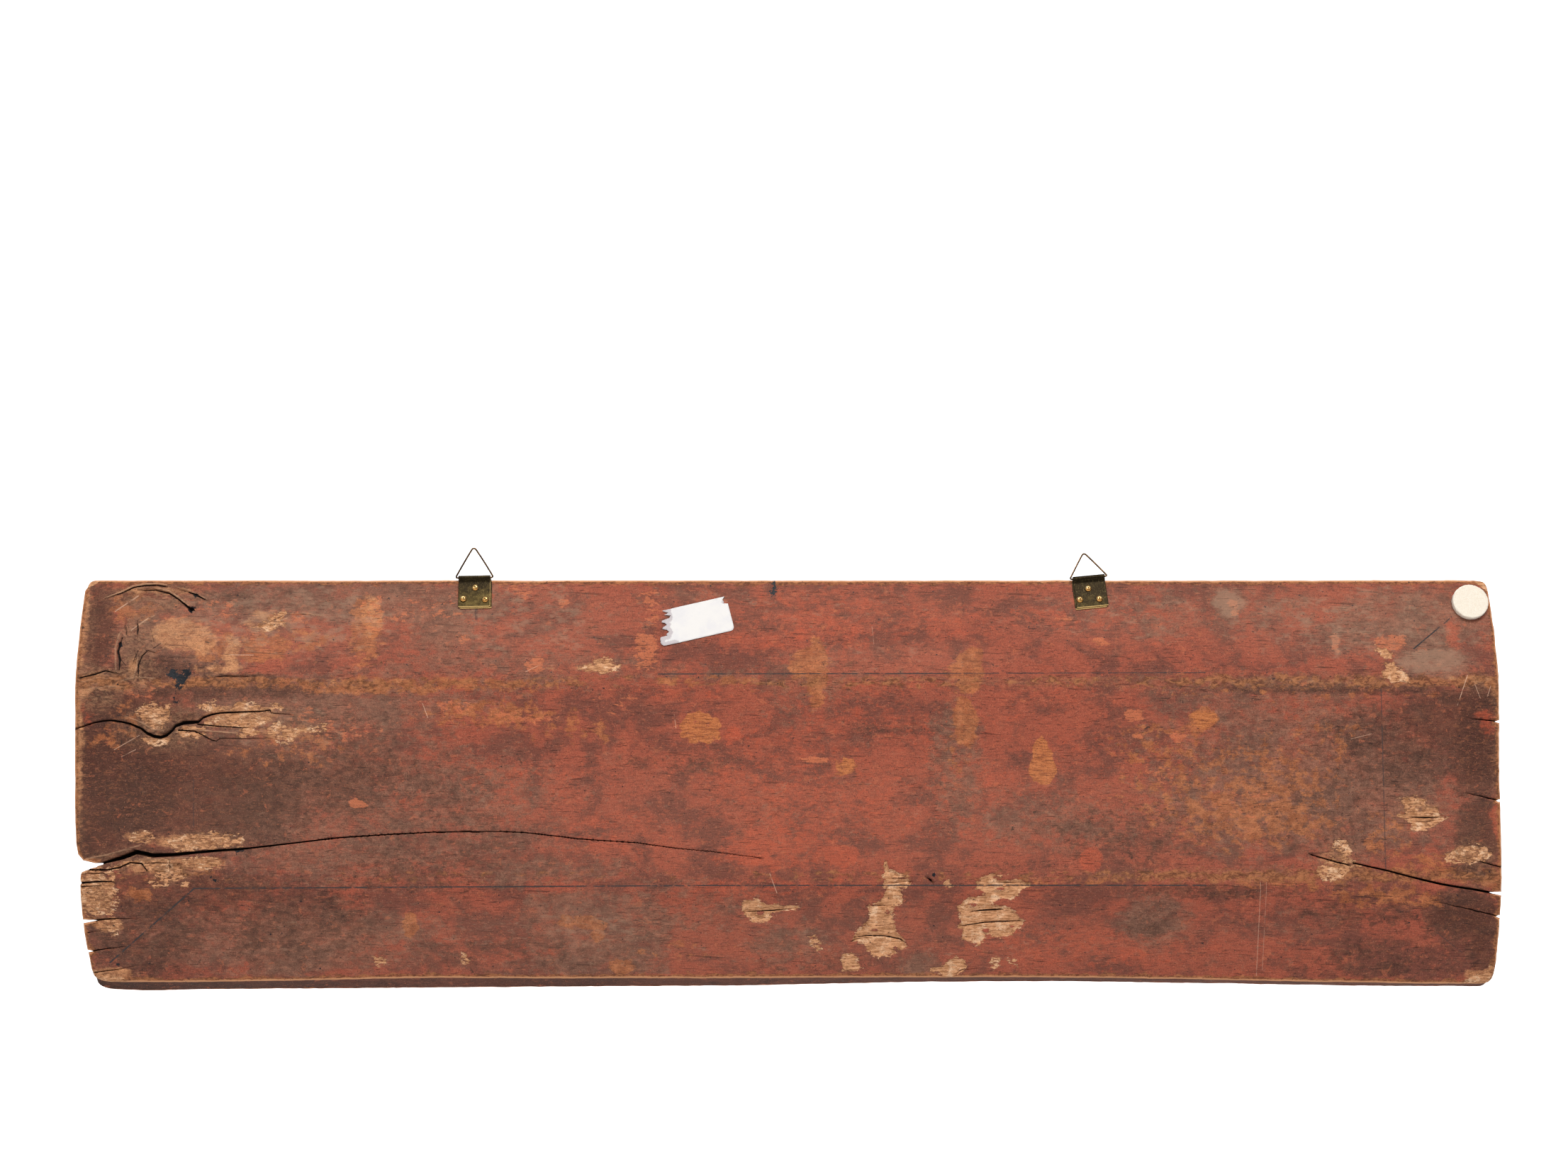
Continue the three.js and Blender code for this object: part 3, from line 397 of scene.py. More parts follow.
PALE = [
    (-142, 66, 7, 5.4, 0.7), (-81, 74, 8, 14, 0.62), (-184, 82, 6, 4, 0.6), (-127, 101.7, 4.4, 2.6, 0.85),
    (-153, 108.9, 8.6, 6, 0.5), (-77, 104.4, 9, 7, 0.5), (16.4, 12.2, 9, 2.6, 0.9),
    (196, 37.6, 6.4, 4, 0.8), (220, 25.4, 5.6, 3.2, 0.85), (198, 26, 3.4, 1.8, 0.85),
    (-242.4, -12.4, 6, 2.6, 1.05), (-236, 96, 9, 14, 0.48), (-300, 80, 14, 12, 0.44),
    (-358, 40, 9, 6, 0.4), (-76, 92, 6, 6, 0.5), (-64, 36, 3, 8, 0.4), (311, 79, 2.6, 7, 0.8),
    (342, 79, 10, 5, 0.8), (157, 94, 5, 4, 0.5), (178, 79, 7, 2.4, 0.8), (254, 100, 4, 6, 0.6),
    (292, 55, 6, 3, 0.5), (-170, -30, 3, 4, 0.35), (222, -30, 5, 5, 0.45), (-246, 74, 6, 4, 0.45),
    (210, 6, 14, 10, 0.4), (-196, 60, 5, 2.4, 0.5), (262, -14, 20, 12, 0.38), (-18, 14, 3, 2, 0.5),
    (-190, 42, 18, 6, 0.45), (-150, 36, 26, 6, 0.45), (-330, 92, 40, 16, 0.36), (-286, 94, 20, 6, 0.45),
    (-250, 28, 26, 8, 0.42), (-365, 52, 20, 6, 0.42), (-272, 38, 14, 5, 0.44), (-96, 44, 20, 10, 0.34),
    (36, 94, 24, 10, 0.3), (-204, 96, 26, 14, 0.36),
]
TAR = [
    (-347.4, 61.4, 2.6, 2.8, 0.95), (-339.4, 61.8, 2.2, 3.2, 1), (-342.6, 57.4, 3.2, 3.4, 1),
    (-344, 54, 2.2, 2.4, 0.9), (-345.6, 49.2, 2.2, 1.6, 0.95), (-345.8, 44.6, 1, 3, 0.6),
    (-338.6, 65.2, 1, 2, 0.8), (-378.6, 77.6, 1.3, 2, 0.7), (-340, 98, 2, 1.5, 1.2),
    (-338, 106.6, 1.5, 1, 1), (-7.5, 108, 0.75, 6.4, 1.25), (-311, -38.6, 4, 1.4, 0.7),
    (-323, -55.4, 3, 1.6, 0.6), (82.6, -52.8, 1.5, 0.9, 1.2), (30, -81.6, 0.8, 0.8, 1.1),
    (-381.4, -104.6, 1.6, 1.6, 0.5), (84, 109.5, 1.4, 0.7, 0.9),
]
# Tan, half-bare wood that shows its fibres
TAN = [
    (-346.5, 84, 15, 9, 1), (-333, 80, 9, 9, 0.8), (-315, 73, 5, 10, 0.8), (-322, 64, 16, 3.4, 0.6),
    (-393, 58, 9, 3.6, 0.85), (-370.4, 64, 2.6, 7, 0.8), (-398, 51, 5, 6, 0.7), (-384, 53, 12, 2.6, 0.5),
    (-300, 91, 10, 7, 0.6), (-309, 37, 22, 5.6, 0.85), (-357, 36, 8, 7, 0.6), (-356, 24, 9, 3, 0.7),
    (-283, 28, 18, 5, 0.6), (-391, -63, 10, 11, 1.05), (-335, -34, 25, 4.2, 0.85), (-366, -31, 9, 4, 0.6),
    (-350, -48, 26, 4.4, 0.8), (-328, -45.6, 12, 3.2, 0.8), (-386, -81, 9, 5, 0.75),
    (-360, 109, 24, 2.6, 0.6), (-388, -110, 14, 4, 0.8), (-236, 96, 7, 12, 0.45), (384, -41, 12, 5, 0.7),
    (358, -18, 12, 8, 0.5), (310, -46, 10, 10, 0.5), (386, 57.5, 16, 2.6, 0.6), (401, 52, 4, 5, 0.8),
    (-128, 64, 20, 2.4, 0.4), (-106, 65, 12, 4.6, 0.5), (396, -110, 10, 4, 0.7), (302, 56.6, 60, 1.8, 0.4),
    (-250, 57, 60, 2, 0.35), (-400, 20, 2.6, 60, 0.6), (-400, 85, 3, 26, 0.7),
]
# Torn and fibrous wood: x, z, half length, half height, strength
TORN = [
    (-378, 58, 26, 7, 1), (-369, 78, 12, 18, 0.7), (-362, 106, 26, 9, 0.7), (-350, 30, 24, 12, 0.75),
    (-396, 60, 8, 8, 0.9), (-390, 48, 12, 8, 0.75), (-345, 84, 16, 10, 0.35), (-372, -45, 26, 6, 0.7),
    (-392, -63, 10, 12, 0.6), (-349, -51, 11, 6, 0.9), (-300, 35, 30, 9, 0.35), (-330, -34, 22, 6, 0.4),
    (-292, 91, 10, 6, 0.5), (386, -42, 14, 8, 0.5), (358, -18, 13, 9, 0.45), (311, -45, 11, 12, 0.45),
    (388, 56, 16, 5, 0.5), (392, -55, 12, 6, 0.5), (-394, -110, 10, 6, 0.4), (-320, 58, 30, 4, 0.4),
    (-398, 86, 5, 26, 0.4), (-402, 0, 4, 60, 0.4), (402, 20, 4, 60, 0.4), (170, 56.5, 120, 2.4, 0.35),
    (300, 56.5, 80, 3, 0.5), (262, -53, 90, 4, 0.4), (60, 56.5, 90, 2.4, 0.3),
]
# Clean-edged ochre dabs: how strong, and their outline
DABS = [
    ("dab", 1, [
        (142.3, 28), (146, 22), (150, 14), (152, 6), (150, 0.5), (144.5, -2), (138.5, 0.5), (136.2, 6),
        (137.6, 14), (139.5, 22),
    ]),
    ("dab", 0.62, [
        (-62, 32), (-58, 38), (-50, 41), (-44, 38), (-38, 35), (-37, 27), (-40, 21), (-48, 19.5),
        (-56, 22), (-61, 26),
    ]),
    ("dab", 0.58, [(-246, 99), (-238, 106), (-230, 100), (-228, 88), (-236, 78), (-242, 84)]),
    ("dab", 0.62, [
        (228, 38.6), (232, 41.4), (239, 40.6), (243.4, 36.4), (242, 31.2), (237, 28.4), (231, 29.6),
        (227.4, 33.4),
    ]),
    ("dab", 0.6, [(26.6, 8.6), (30, 13), (36, 13.4), (39.4, 9), (37.6, 4), (32, 2.6), (28, 4.2)]),
    ("grime", 0.56, [
        (-148, -63), (-74, -63), (-69, -76), (-66, -92), (-67, -110), (-138, -110), (-150, -90),
    ]),
]
# Dust that dulls the back; the broad patches on the upper bevel are also painted light, paler where the bevel
# faces up to the light
DUST_AND_LIGHT = [
    (-285, 92, 80, 24, 0.44), (-150, 92, 60, 26, 0.38), (320, 92, 90, 22, 0.4), (190, 96, 70, 18, 0.34),
    (20, 100, 110, 16, 0.26), (-280, 30, 60, 20, 0.35), (-110, -84, 40, 22, 0.35), (60, 70, 60, 10, 0.3),
    (0, -20, 380, 30, 0.22), (-60, -90, 300, 20, 0.25), (366, 68, 20, 8, 0.75), (252, 102, 9, 8, 0.85),
    (311, 79, 4, 9, 0.7),
]
# Stains: their spots, how strong they are away from them, and the swing of their noise with its
# length, height and seed
STAINS = {
    "grime": (GRIME, 0.20, 0.20, (70, 26, 101)),
    "dark": (DARK, 0.12, 0.12, (40, 14, 107)),
    "bright": (BRIGHT, 0.0, 0.12, (40, 18, 111)),
    "ochre": (OCHRE, 0.06, 0.08, (60, 30, 113)),
}
PATCHES = {"pale": PALE, "tar": TAR, "torn": TORN, "dust_and_light": DUST_AND_LIGHT, "tan": TAN}

# Pencil and ink lines on the back: start x, z, end x, z, width, strength
DRAWN_LINES = [
    (-73, 60.7, 90, 61, 0.42, 1), (90, 61, 236, 61.6, 0.38, 0.8), (-335, -60.4, -44, -58.7, 0.5, 0.95),
    (-44, -58.7, 236, -58.6, 0.5, 0.95), (335, 52.6, 337.6, -50.2, 0.45, 0.6),
    (-335.2, 1.8, -335.2, -25, 0.4, 0.5), (-335, -60.4, -386.6, -103.3, 0.55, 1),
    (355, 75.3, 376.7, 92.6, 0.5, 1), (368.4, -85.5, 384.4, -97.5, 0.4, 0.5),
    (-177.3, 99.4, -177.1, 92.6, 1.1, 0.6),
]
# Hair cracks in the torn corner
HAIR_CRACKS = [
    (-376, 87.9, -375.6, 83.6, 0.3, 0.9), (-378, 69.4, -374.6, 65.8, 0.3, 0.8),
    (-359.6, 75.5, -355.6, 78.3, 0.35, 0.8), (-368.2, 74.3, -370.4, 68.2, 0.35, 0.8),
    (-362, 86.8, -359.6, 79.5, 0.25, 0.6), (-383, 97.4, -375.8, 101.4, 0.25, 0.6),
]
# Pale scratches and scrapes
SCRATCHES = [
    (-316, 71.7, -302.5, 71.6, 0.25, 0.6), (-290, 33, -286, 20, 0.2, 0.3), (-380, 18, -366, 26, 0.3, 0.45),
    (-376, 14, -368, 18, 0.3, 0.4), (384, 60, 378, 43, 0.22, 0.85), (388, 55, 391, 47, 0.16, 0.6),
    (397, 54, 395, 48, 0.2, 0.6), (-206, 44, -203, 36, 0.2, 0.7), (-10, -52, -6, -63, 0.3, 0.45),
    (-383, 97, -371, 106, 0.5, 0.5), (-373, 86, -364, 93, 0.35, 0.5), (-64, 38, -63, 30, 0.2, 0.5),
    (48, 88, 49, 78, 0.2, 0.35), (267, -57, 268, -111, 0.26, 0.34), (270.3, -57, 271.2, -108, 0.22, 0.26),
    (-148, 62, -140, 66, 0.2, 0.5), (318, 24, 330, 27, 0.18, 0.5),
]

# Carving of the front, in millimetres
BORDER_LEDGE = (382.0, 98.0, 9.0, 2.4)  # half length, half height, corner radius, depth
CARVED_GROUND = (376.0, 92.0, 6.0, 6.5)
CARVING_Z = -1.5
RELIEF = 5.9
STEM_START, BAY, BAYS, SWING, STEM_R = 30.0, 110.0, 3, 50.0, 4.8
CURL_R, CURL_OUTER, CURL_TIGHTENS = 3.8, 62, 29
CURL_START, CURL_SWEEP = 52, 262  # degrees
FLOWER_OFFSET, FLOWER_R, PETALS = 31.0, 21.0, 6
ROSETTE_R, ROSETTE_PETALS = 34.0, 10
LEAF_LENGTH, LEAF_HALF, LEAF_RISE = 35.0, 6.5, 4.4
LEAF_SPREAD = 56  # degrees

# Hangers, in the frame that the strap's own x, z and outward -y make on the upper bevel. Of each screw:
# its x and z, its tilt, and the turn of its slot, in degrees
# Each strap also has a level for its painted dark reflection, higher on the right strap
HANGERS = {
    "left": {"x": -178.9, "turn": 1.2, "lean": 0.0, "slip": 0.8, "dark_reflection": 0.30, "bow": 0.25, "screws": {
        "top": (0.5, -5.4, 0, 35), "inner": (6.3, -12.7, 0, 12), "outer": (-6.1, -12.1, 9, 58)}},
    "right": {"x": 172.2, "turn": 5.7, "lean": -30.0, "slip": -0.8, "dark_reflection": 0.62, "bow": 0.15, "screws": {
        "top": (-1.2, -5.8, 0, 20), "inner": (-6.8, -12.1, 0, 48), "outer": (4.3, -12.7, 0, 5)}},
}
BARREL = (-1.42, 0.6)  # y and z of the wire's axis
SHEET = 0.64
FELT_PLACE = (388.7, 14.4)  # x, and how far down the bevel
PAPER_PLACE = (-53.1, 25.5, 13.6)  # x, how far down the bevel, turn in degrees

# The torn left side of the paper from its top, and the nibbled top of its right side
PAPER_TEAR = [
    (-16.4, 10.5), (-14.6, 9.2), (-13.4, 8.4), (-15.6, 7.6), (-12.2, 6.5), (-13.4, 5.2), (-17.4, 4.6),
    (-18.3, 3.6), (-16.2, 2.6), (-15.4, 1.6), (-17.8, 0.6), (-18.6, -0.5), (-16.2, -1.5), (-15.3, -3.0),
    (-17.0, -4.0), (-16.6, -4.9), (-20.4, -5.0), (-21.1, -5.4),
]
PAPER_RIGHT = [(20.1, 10.6), (18.6, 9.0), (19.2, 7.6), (18.7, 6.8), (20.2, 6.2), (21.1, 6.0)]


# Settings that a user would change

COLOUR = {"subtype": "COLOR", "size": 3, "min": 0, "max": 1}


class BoardSettings(bpy.types.PropertyGroup):
    rim_wear: FloatProperty(
        name="Rim wear", description="How far the long arrises are worn round",
        default=1.3 * MM, min=0.3 * MM, max=4 * MM, unit="LENGTH")
    flake_depth: FloatProperty(
        name="Flake depth", description="Scale of the flaked places' depth", default=1.0, min=0.0, max=2.0)
    split_depth: FloatProperty(
        name="Split depth", description="Scale of the splits' depth", default=1.0, min=0.2, max=1.5)
    plane_waves: FloatProperty(
        name="Plane waves", description="Height of the hand plane's waves",
        default=0.12 * MM, min=0.0, max=0.5 * MM, unit="LENGTH")
    wash: FloatVectorProperty(
        name="Red wash", description="Colour of the red wash where it is thin",
        default=(0.355, 0.084, 0.048), **COLOUR)
    dark_wash: FloatVectorProperty(
        name="Dark wash", description="Colour of the red wash where it has darkened",
        default=(0.180, 0.056, 0.038), **COLOUR)
    bright_wash: FloatVectorProperty(
        name="Bright wash", description="Colour of the freshest red", default=(0.56, 0.098, 0.044), **COLOUR)
    grime: FloatVectorProperty(
        name="Grime", description="Colour of the grey-brown grime", default=(0.125, 0.070, 0.046), **COLOUR)
    raw_wood: FloatVectorProperty(
        name="Raw wood", description="Colour of freshly flaked wood", default=(0.69, 0.345, 0.175), **COLOUR)


class HangerSettings(bpy.types.PropertyGroup):
    sheet: FloatProperty(
        name="Sheet", description="Thickness of the strap's brass sheet",
        default=0.6 * MM, min=0.3 * MM, max=0.64 * MM, unit="LENGTH")
    wire: FloatProperty(
        name="Wire radius", description="Radius of the ring's wire",
        default=0.5 * MM, min=0.3 * MM, max=0.52 * MM, unit="LENGTH")
    strap_colour: FloatVectorProperty(
        name="Strap", description="Colour of the dulled brass strap", default=(0.062, 0.041, 0.012), **COLOUR)
    screw_colour: FloatVectorProperty(
        name="Screws", description="Colour of the bright brass screws", default=(0.95, 0.66, 0.30), **COLOUR)


class SmallPiecesSettings(bpy.types.PropertyGroup):
    felt_colour: FloatVectorProperty(
        name="Felt", description="Colour of the felt bumper", default=(0.94, 0.87, 0.75), **COLOUR)
    paper_colour: FloatVectorProperty(
        name="Paper", description="Colour of the torn paper", default=(0.79, 0.76, 0.73), **COLOUR)


class StageSettings(bpy.types.PropertyGroup):
    camera_distance: FloatProperty(
        name="Camera distance", description="From the camera to the back of the panel",
        default=1.229, min=0.5, max=4.0, unit="LENGTH")
    key_power: FloatProperty(
        name="Key light", description="Power of the soft light above the camera",
        default=64.0, min=0.0, max=400.0, unit="POWER")
    fill_power: FloatProperty(
        name="Fill light", description="Power of the wide light below the camera",
        default=5.0, min=0.0, max=400.0, unit="POWER")
    paper_white: FloatProperty(
        name="Backdrop", description="Brightness of the pale studio backdrop", default=1.0, min=0.1, max=3.0)


# Fields over the board, worked out for arrays of x and z in millimetres

def lattice(i, j, seed):
    """A fixed random value from -1 to 1 for each corner of a grid."""
    mixed = (i * 374761393 + j * 668265263 + seed * 974634777) & 0xFFFFFFFF
    mixed = ((mixed ^ (mixed >> 13)) * 1274126177) & 0xFFFFFFFF
    return ((mixed ^ (mixed >> 16)) & 0xFFFF) / 32767.5 - 1.0


def ripple(x, z, length, height, seed):
    """A smooth random field from -1 to 1, with bumps of the given length and height."""
    u, v = np.asarray(x) / length, np.asarray(z) / height
    i, j = np.floor(u).astype(np.int64), np.floor(v).astype(np.int64)
    a, b = u - i, v - j
    a, b = a * a * (3 - 2 * a), b * b * (3 - 2 * b)
    low = lattice(i, j, seed) * (1 - a) + lattice(i + 1, j, seed) * a
    high = lattice(i, j + 1, seed) * (1 - a) + lattice(i + 1, j + 1, seed) * a
    return low * (1 - b) + high * b


def rough(x, z, length, height, seed):
    """Ripples of three sizes, from about -1 to 1."""
    field = ripple(x, z, length, height, seed) * 0.6
    field = field + ripple(x, z, length * 0.45, height * 0.45, seed + 1) * 0.3
    return field + ripple(x, z, length * 0.2, height * 0.2, seed + 2) * 0.15


def ease(low, high, value):
    """0 at low, 1 at high, and smooth between. Low may be the larger."""
    t = np.clip((value - low) / (high - low), 0, 1)
    return t * t * (3 - 2 * t)


def inside_turned(x, z, spot):
    """Distance from a turned spot's middle, 1 on its edge."""
    middle_x, middle_z, half_length, half_height, turn = spot[:5]
    turn = math.radians(turn)
    dx, dz = x - middle_x, z - middle_z
    u = (dx * math.cos(turn) + dz * math.sin(turn)) / half_length
    v = (dz * math.cos(turn) - dx * math.sin(turn)) / half_height
    return np.sqrt(u * u + v * v)


def nearest_on_line(x, z, line):
    """Distance to a line of points, and where on it the nearest place is (in segments)."""
    best = np.full(x.shape, 1e9)
    where = np.zeros(x.shape)
    line = np.asarray(line, float)
    for k in range(len(line) - 1):
        (ax, az), (bx, bz) = line[k, :2], line[k + 1, :2]
        length2 = max((bx - ax) ** 2 + (bz - az) ** 2, 1e-9)
        t = np.clip(((x - ax) * (bx - ax) + (z - az) * (bz - az)) / length2, 0, 1)
        distance = np.hypot(x - ax - t * (bx - ax), z - az - t * (bz - az))
        closer = distance < best
        best = np.where(closer, distance, best)
        where = np.where(closer, k + t, where)
    return best, where


def bevel(z):
    """Depth of the back's fielded profile, with its two ridges worn soft."""
    upper = np.logaddexp(0, (z - FIELD_TOP) / RIDGE_SOFTNESS) * RIDGE_SOFTNESS * TOP_SLOPE
    lower = np.logaddexp(0, (FIELD_BOTTOM - z) / RIDGE_SOFTNESS) * RIDGE_SOFTNESS * LOW_SLOPE
    return upper + lower


def reach_inside(x, z, outline):
    """Which points are near an outline, and how far inside it they are."""
    shape = np.array(outline)
    low, high = shape.min(0) - 4, shape.max(0) + 4
    near = (x > low[0]) & (x < high[0]) & (z > low[1]) & (z < high[1])
    nx, nz = x[near], z[near]
    away, _ = nearest_on_line(nx, nz, np.vstack([shape, shape[:1]]))
    return near, np.where(inside_loop(np.column_stack([nx, nz]), shape), away, -away)


def flake_field(x, z):
    """How far inside a flaked place each point is (0.5 on its edge), and how deep the wood is gone."""
    shown, depth = np.zeros(x.shape), np.zeros(x.shape)
    for whole, deep, outline in FLAKES:
        near, inner = reach_inside(x, z, outline)
        if not near.any():
            continue
        nx, nz = x[near], z[near]
        inner = inner + 0.55 * ripple(nx, nz, 4.2, 2.2, 41) + 0.35 * ripple(nx, nz, 1.7, 1.0, 43)
        shown[near] = np.maximum(shown[near], 0.5 + np.clip(inner / 3.0, -0.5, whole - 0.5))
        uneven = 1 + 0.4 * ripple(nx, nz, 16, 1.5, 7) + 0.15 * ripple(nx, nz, 4, 1.1, 9)
        cut = ease(-0.1, 0.7, inner) * deep * uneven
        depth[near] = np.maximum(depth[near], cut * ease(0.44, 0.7, whole))
    for middle_x, middle_z, length, height in ISLANDS:
        kept = ease(1.5, 0.6, np.hypot((x - middle_x) / length, (z - middle_z) / height))
        shown, depth = shown - 0.55 * kept, depth * (1 - kept)
    return np.clip(shown, 0, 1), depth


def widths(line, where):
    """Width of a split or fibre at places along it, counted in segments."""
    return np.interp(where, range(len(line)), [p[2] for p in line])


def split_field(x, z, scale):
    """Depth of the splits, with their lips pressed in a little."""
    depth = np.zeros(x.shape)
    for start, end, line in SPLITS:
        xs, zs, _ = zip(*line)
        near = (x > min(xs) - 3) & (x < max(xs) + 3) & (z > min(zs) - 3) & (z < max(zs) + 3)
        if not near.any():
            continue
        distance, where = nearest_on_line(x[near], z[near], line)
        width = widths(line, where)
        full = np.interp(where, (0, len(line) - 1), (start, end)) * np.clip(width / 0.8, 0.3, 1)
        cut = full * ease(width * 0.5 + 0.06, width * 0.36, distance)
        lip = 0.25 * ease(width * 0.5 + 1.3, width * 0.5, distance) * np.clip(width, 0.2, 1.2)
        depth[near] = np.maximum(depth[near], np.maximum(cut, lip) * scale)
    return depth


def strand_field(x, z):
    """How high the standing fibres rise, and how pale they are."""
    rise, shown = np.zeros(x.shape), np.zeros(x.shape)
    for high, fresh, line in STRANDS:
        near, _ = reach_inside(x, z, [p[:2] for p in line])
        distance, where = nearest_on_line(x[near], z[near], line)
        width = widths(line, where)
        over = ease(width * 0.5 + 0.25, width * 0.2, distance)
        rise[near] = np.maximum(rise[near], high * over)
        shown[near] = np.maximum(shown[near], fresh * over)
    return rise, shown


def hollow_field(x, z):
    """Depth of the soft hollows in the back."""
    depth = np.zeros(x.shape)
    for spot in HOLLOWS:
        depth += spot[5] * ease(1.0, 0.15, inside_turned(x, z, spot))
    return depth


def rounded_off(x, z, to_rim, board):
    """How far a face falls back near the rim, where its arris is worn round."""
    radius = rim_radius(x, z, board)
    inner = np.clip(to_rim, 0, radius)
    return radius - np.sqrt(np.clip(radius ** 2 - (radius - inner) ** 2, 0, None))


def back_surface(x, z, to_rim, board):
    """y of the back, in millimetres, how far flaked each point is, and the depth of the splits."""
    shown, flaked = flake_field(x, z)
    split = split_field(x, z, board.split_depth)
    waves = board.plane_waves / MM
    y = bevel(z) + waves * (1 + rough(x, z, 55, 16, 3)) + hollow_field(x, z)
    y += flaked * board.flake_depth
    y += 0.35 * ease(-340, -395, x) * (1 + rough(x, z, 20, 9, 17))
    swirl = 5 * rough(x, z, 30, 22, 27)
    y += 0.55 * spots(x, z, TORN) * (1 + rough(x + swirl, z + swirl, 11, 1.7, 37))
    y += rounded_off(x, z, to_rim, board)
    y = np.maximum(y - strand_field(x, z)[0] * ease(1.0, 3.0, to_rim), 0.0)
    deepest = np.where(to_rim < 6, FRONT - 9, FRONT - 13)
    return np.minimum(y + split, np.maximum(y, deepest)), shown, split


def rim_radius(x, z, board):
    """Radius of the worn arris, larger at the three battered corners."""
    wear = board.rim_wear / MM
    radius = wear * (1 + 0.45 * rough(x, z, 30, 30, 5))
    radius += 2.6 * ease(26, 4, np.hypot(x + 400, z + 117)) + 1.4 * ease(16, 3, np.hypot(x - 403, z + 116))
    radius += 1.0 * ease(12, 2, np.hypot(x + 402, z - 115))
    return np.clip(radius, 0.35, 4.5)


def spots(x, z, places):
    """The strongest of a list of soft-edged spots at each point, 0 to about 1."""
    strength = np.zeros(x.shape)
    for px, pz, length, height, full in places:
        q = np.hypot((x - px) / length, (z - pz) / height)
        strength = np.maximum(strength, full * ease(1.55, 0.45, q))
    return strength


# The carved front

def stem_line():
    """The wave of the vine's stem, as points from near the middle to past the last bay."""
    x = np.arange(STEM_START - 6, STEM_START + BAYS * BAY + 5, 4.0)
    return np.column_stack([x, CARVING_Z + SWING * np.sin(math.pi * (x - STEM_START) / BAY)])


def bay_middle(index):
    """Where a bay's flower sits, and whether that is above (1) or below (-1) the middle line."""
    side = -1 if index % 2 == 0 else 1
    return STEM_START + (index + 0.5) * BAY, CARVING_Z + side * FLOWER_OFFSET, side


def curl_line(index):
    """The shoot that curls round a bay's flower."""
    x, z, side = bay_middle(index)
    t = np.linspace(0, 1, 30)
    angle = -side * np.radians(CURL_START - CURL_SWEEP * t)
    radius = CURL_OUTER - CURL_TIGHTENS * t ** 0.7
    return np.column_stack([x + radius * np.cos(angle), z + radius * np.sin(angle)])


def tube_rise(x, z, line, thickness):
    """Height of a round stem along a line."""
    distance, _ = nearest_on_line(x, z, line)
    return np.sqrt(np.clip(thickness ** 2 - distance ** 2, 0, None))


def flower_rise(x, z, cx, cz, radius, petals):
    """Height of a flower of rounded petals round a seeded button."""
    dx, dz = x - cx, z - cz
    angle, reach = np.arctan2(dz, dx), np.hypot(dx, dz)
    sector = 2 * math.pi / petals
    local = angle % sector - sector / 2
    u = (reach * np.cos(local) - radius * 0.62) / (radius * 0.4)
    half = radius * 0.62 * math.sin(math.pi / petals) * 1.08
    v = reach * np.sin(local) / half
    petal = RELIEF * 0.8 * np.sqrt(np.clip(1 - u * u - v * v, 0, None))
    petal -= 0.7 * ease(0.3, 0.0, np.abs(v)) * ease(0.9, 0.2, np.abs(u)) * (petal > 0)
    button = RELIEF * np.sqrt(np.clip(1 - (reach / (radius * 0.34)) ** 2, 0, None))
    seeds = 0.35 * np.cos(dx * 3.2) * np.cos(dz * 3.2) * (button > 1)
    return np.maximum(petal, button + seeds)


def leaf_rise(x, z, root_x, root_z, angle, length):
    """Height of one veined leaf that starts at its root and is widest near it."""
    dx, dz = x - root_x, z - root_z
    u = (dx * math.cos(angle) + dz * math.sin(angle)) / length
    v = np.abs(dz * math.cos(angle) - dx * math.sin(angle))
    swell = np.sqrt(0.1024 + 0.36 * np.clip(u, 0, 1)) - 0.32
    t = np.clip(swell / 0.36, 0, 1)
    half = 4 * LEAF_HALF * t * (1 - t) + 1e-6
    body = LEAF_RISE * np.clip(1 - v / half, 0, 1) ** 0.7 * ((u > 0) & (u < 1))
    veins = 0.3 * np.cos((u * length - v * 1.4) * 1.5) * (body > 0.8)
    return np.clip(body + veins, 0, None)


def leaf_fan(x, z, root_x, root_z, up, length):
    """Three leaves that spread upwards (1) or downwards (-1) from one root."""
    rise = np.zeros(x.shape)
    for spread in (-LEAF_SPREAD, 0, LEAF_SPREAD):
        angle = math.radians(up * 90 - spread)
        rise = np.maximum(rise, leaf_rise(x, z, root_x + spread * 0.1, root_z, angle, length))
    return rise


def carving_rise(x, z):
    """Height of the carving above its sunk ground. The left half mirrors the right half."""
    side_x = np.abs(x)
    parts = [np.zeros(x.shape), tube_rise(side_x, z, stem_line(), STEM_R)]
    for index in range(BAYS):
        cx, cz, side = bay_middle(index)
        parts.append(tube_rise(side_x, z, curl_line(index), CURL_R))
        parts.append(flower_rise(side_x, z, cx, cz, FLOWER_R, PETALS))
        parts.append(leaf_fan(side_x, z, cx, CARVING_Z - side * (SWING + 3), -side, LEAF_LENGTH))
    parts.append(flower_rise(x, z, 0, CARVING_Z, ROSETTE_R, ROSETTE_PETALS))
    for up in (1, -1):
        parts.append(leaf_fan(x, z, 0, CARVING_Z + 36 * up, up, LEAF_LENGTH * 1.4))
    return np.max(parts, axis=0)


def inside_rounded(x, z, half_length, half_height, corner):
    """Signed distance to a rounded rectangle round the carving, below 0 inside."""
    dx = np.abs(x) - (half_length - corner)
    dz = np.abs(z - CARVING_Z) - (half_height - corner)
    outside = np.hypot(np.clip(dx, 0, None), np.clip(dz, 0, None))
    return outside + np.minimum(np.maximum(dx, dz), 0) - corner


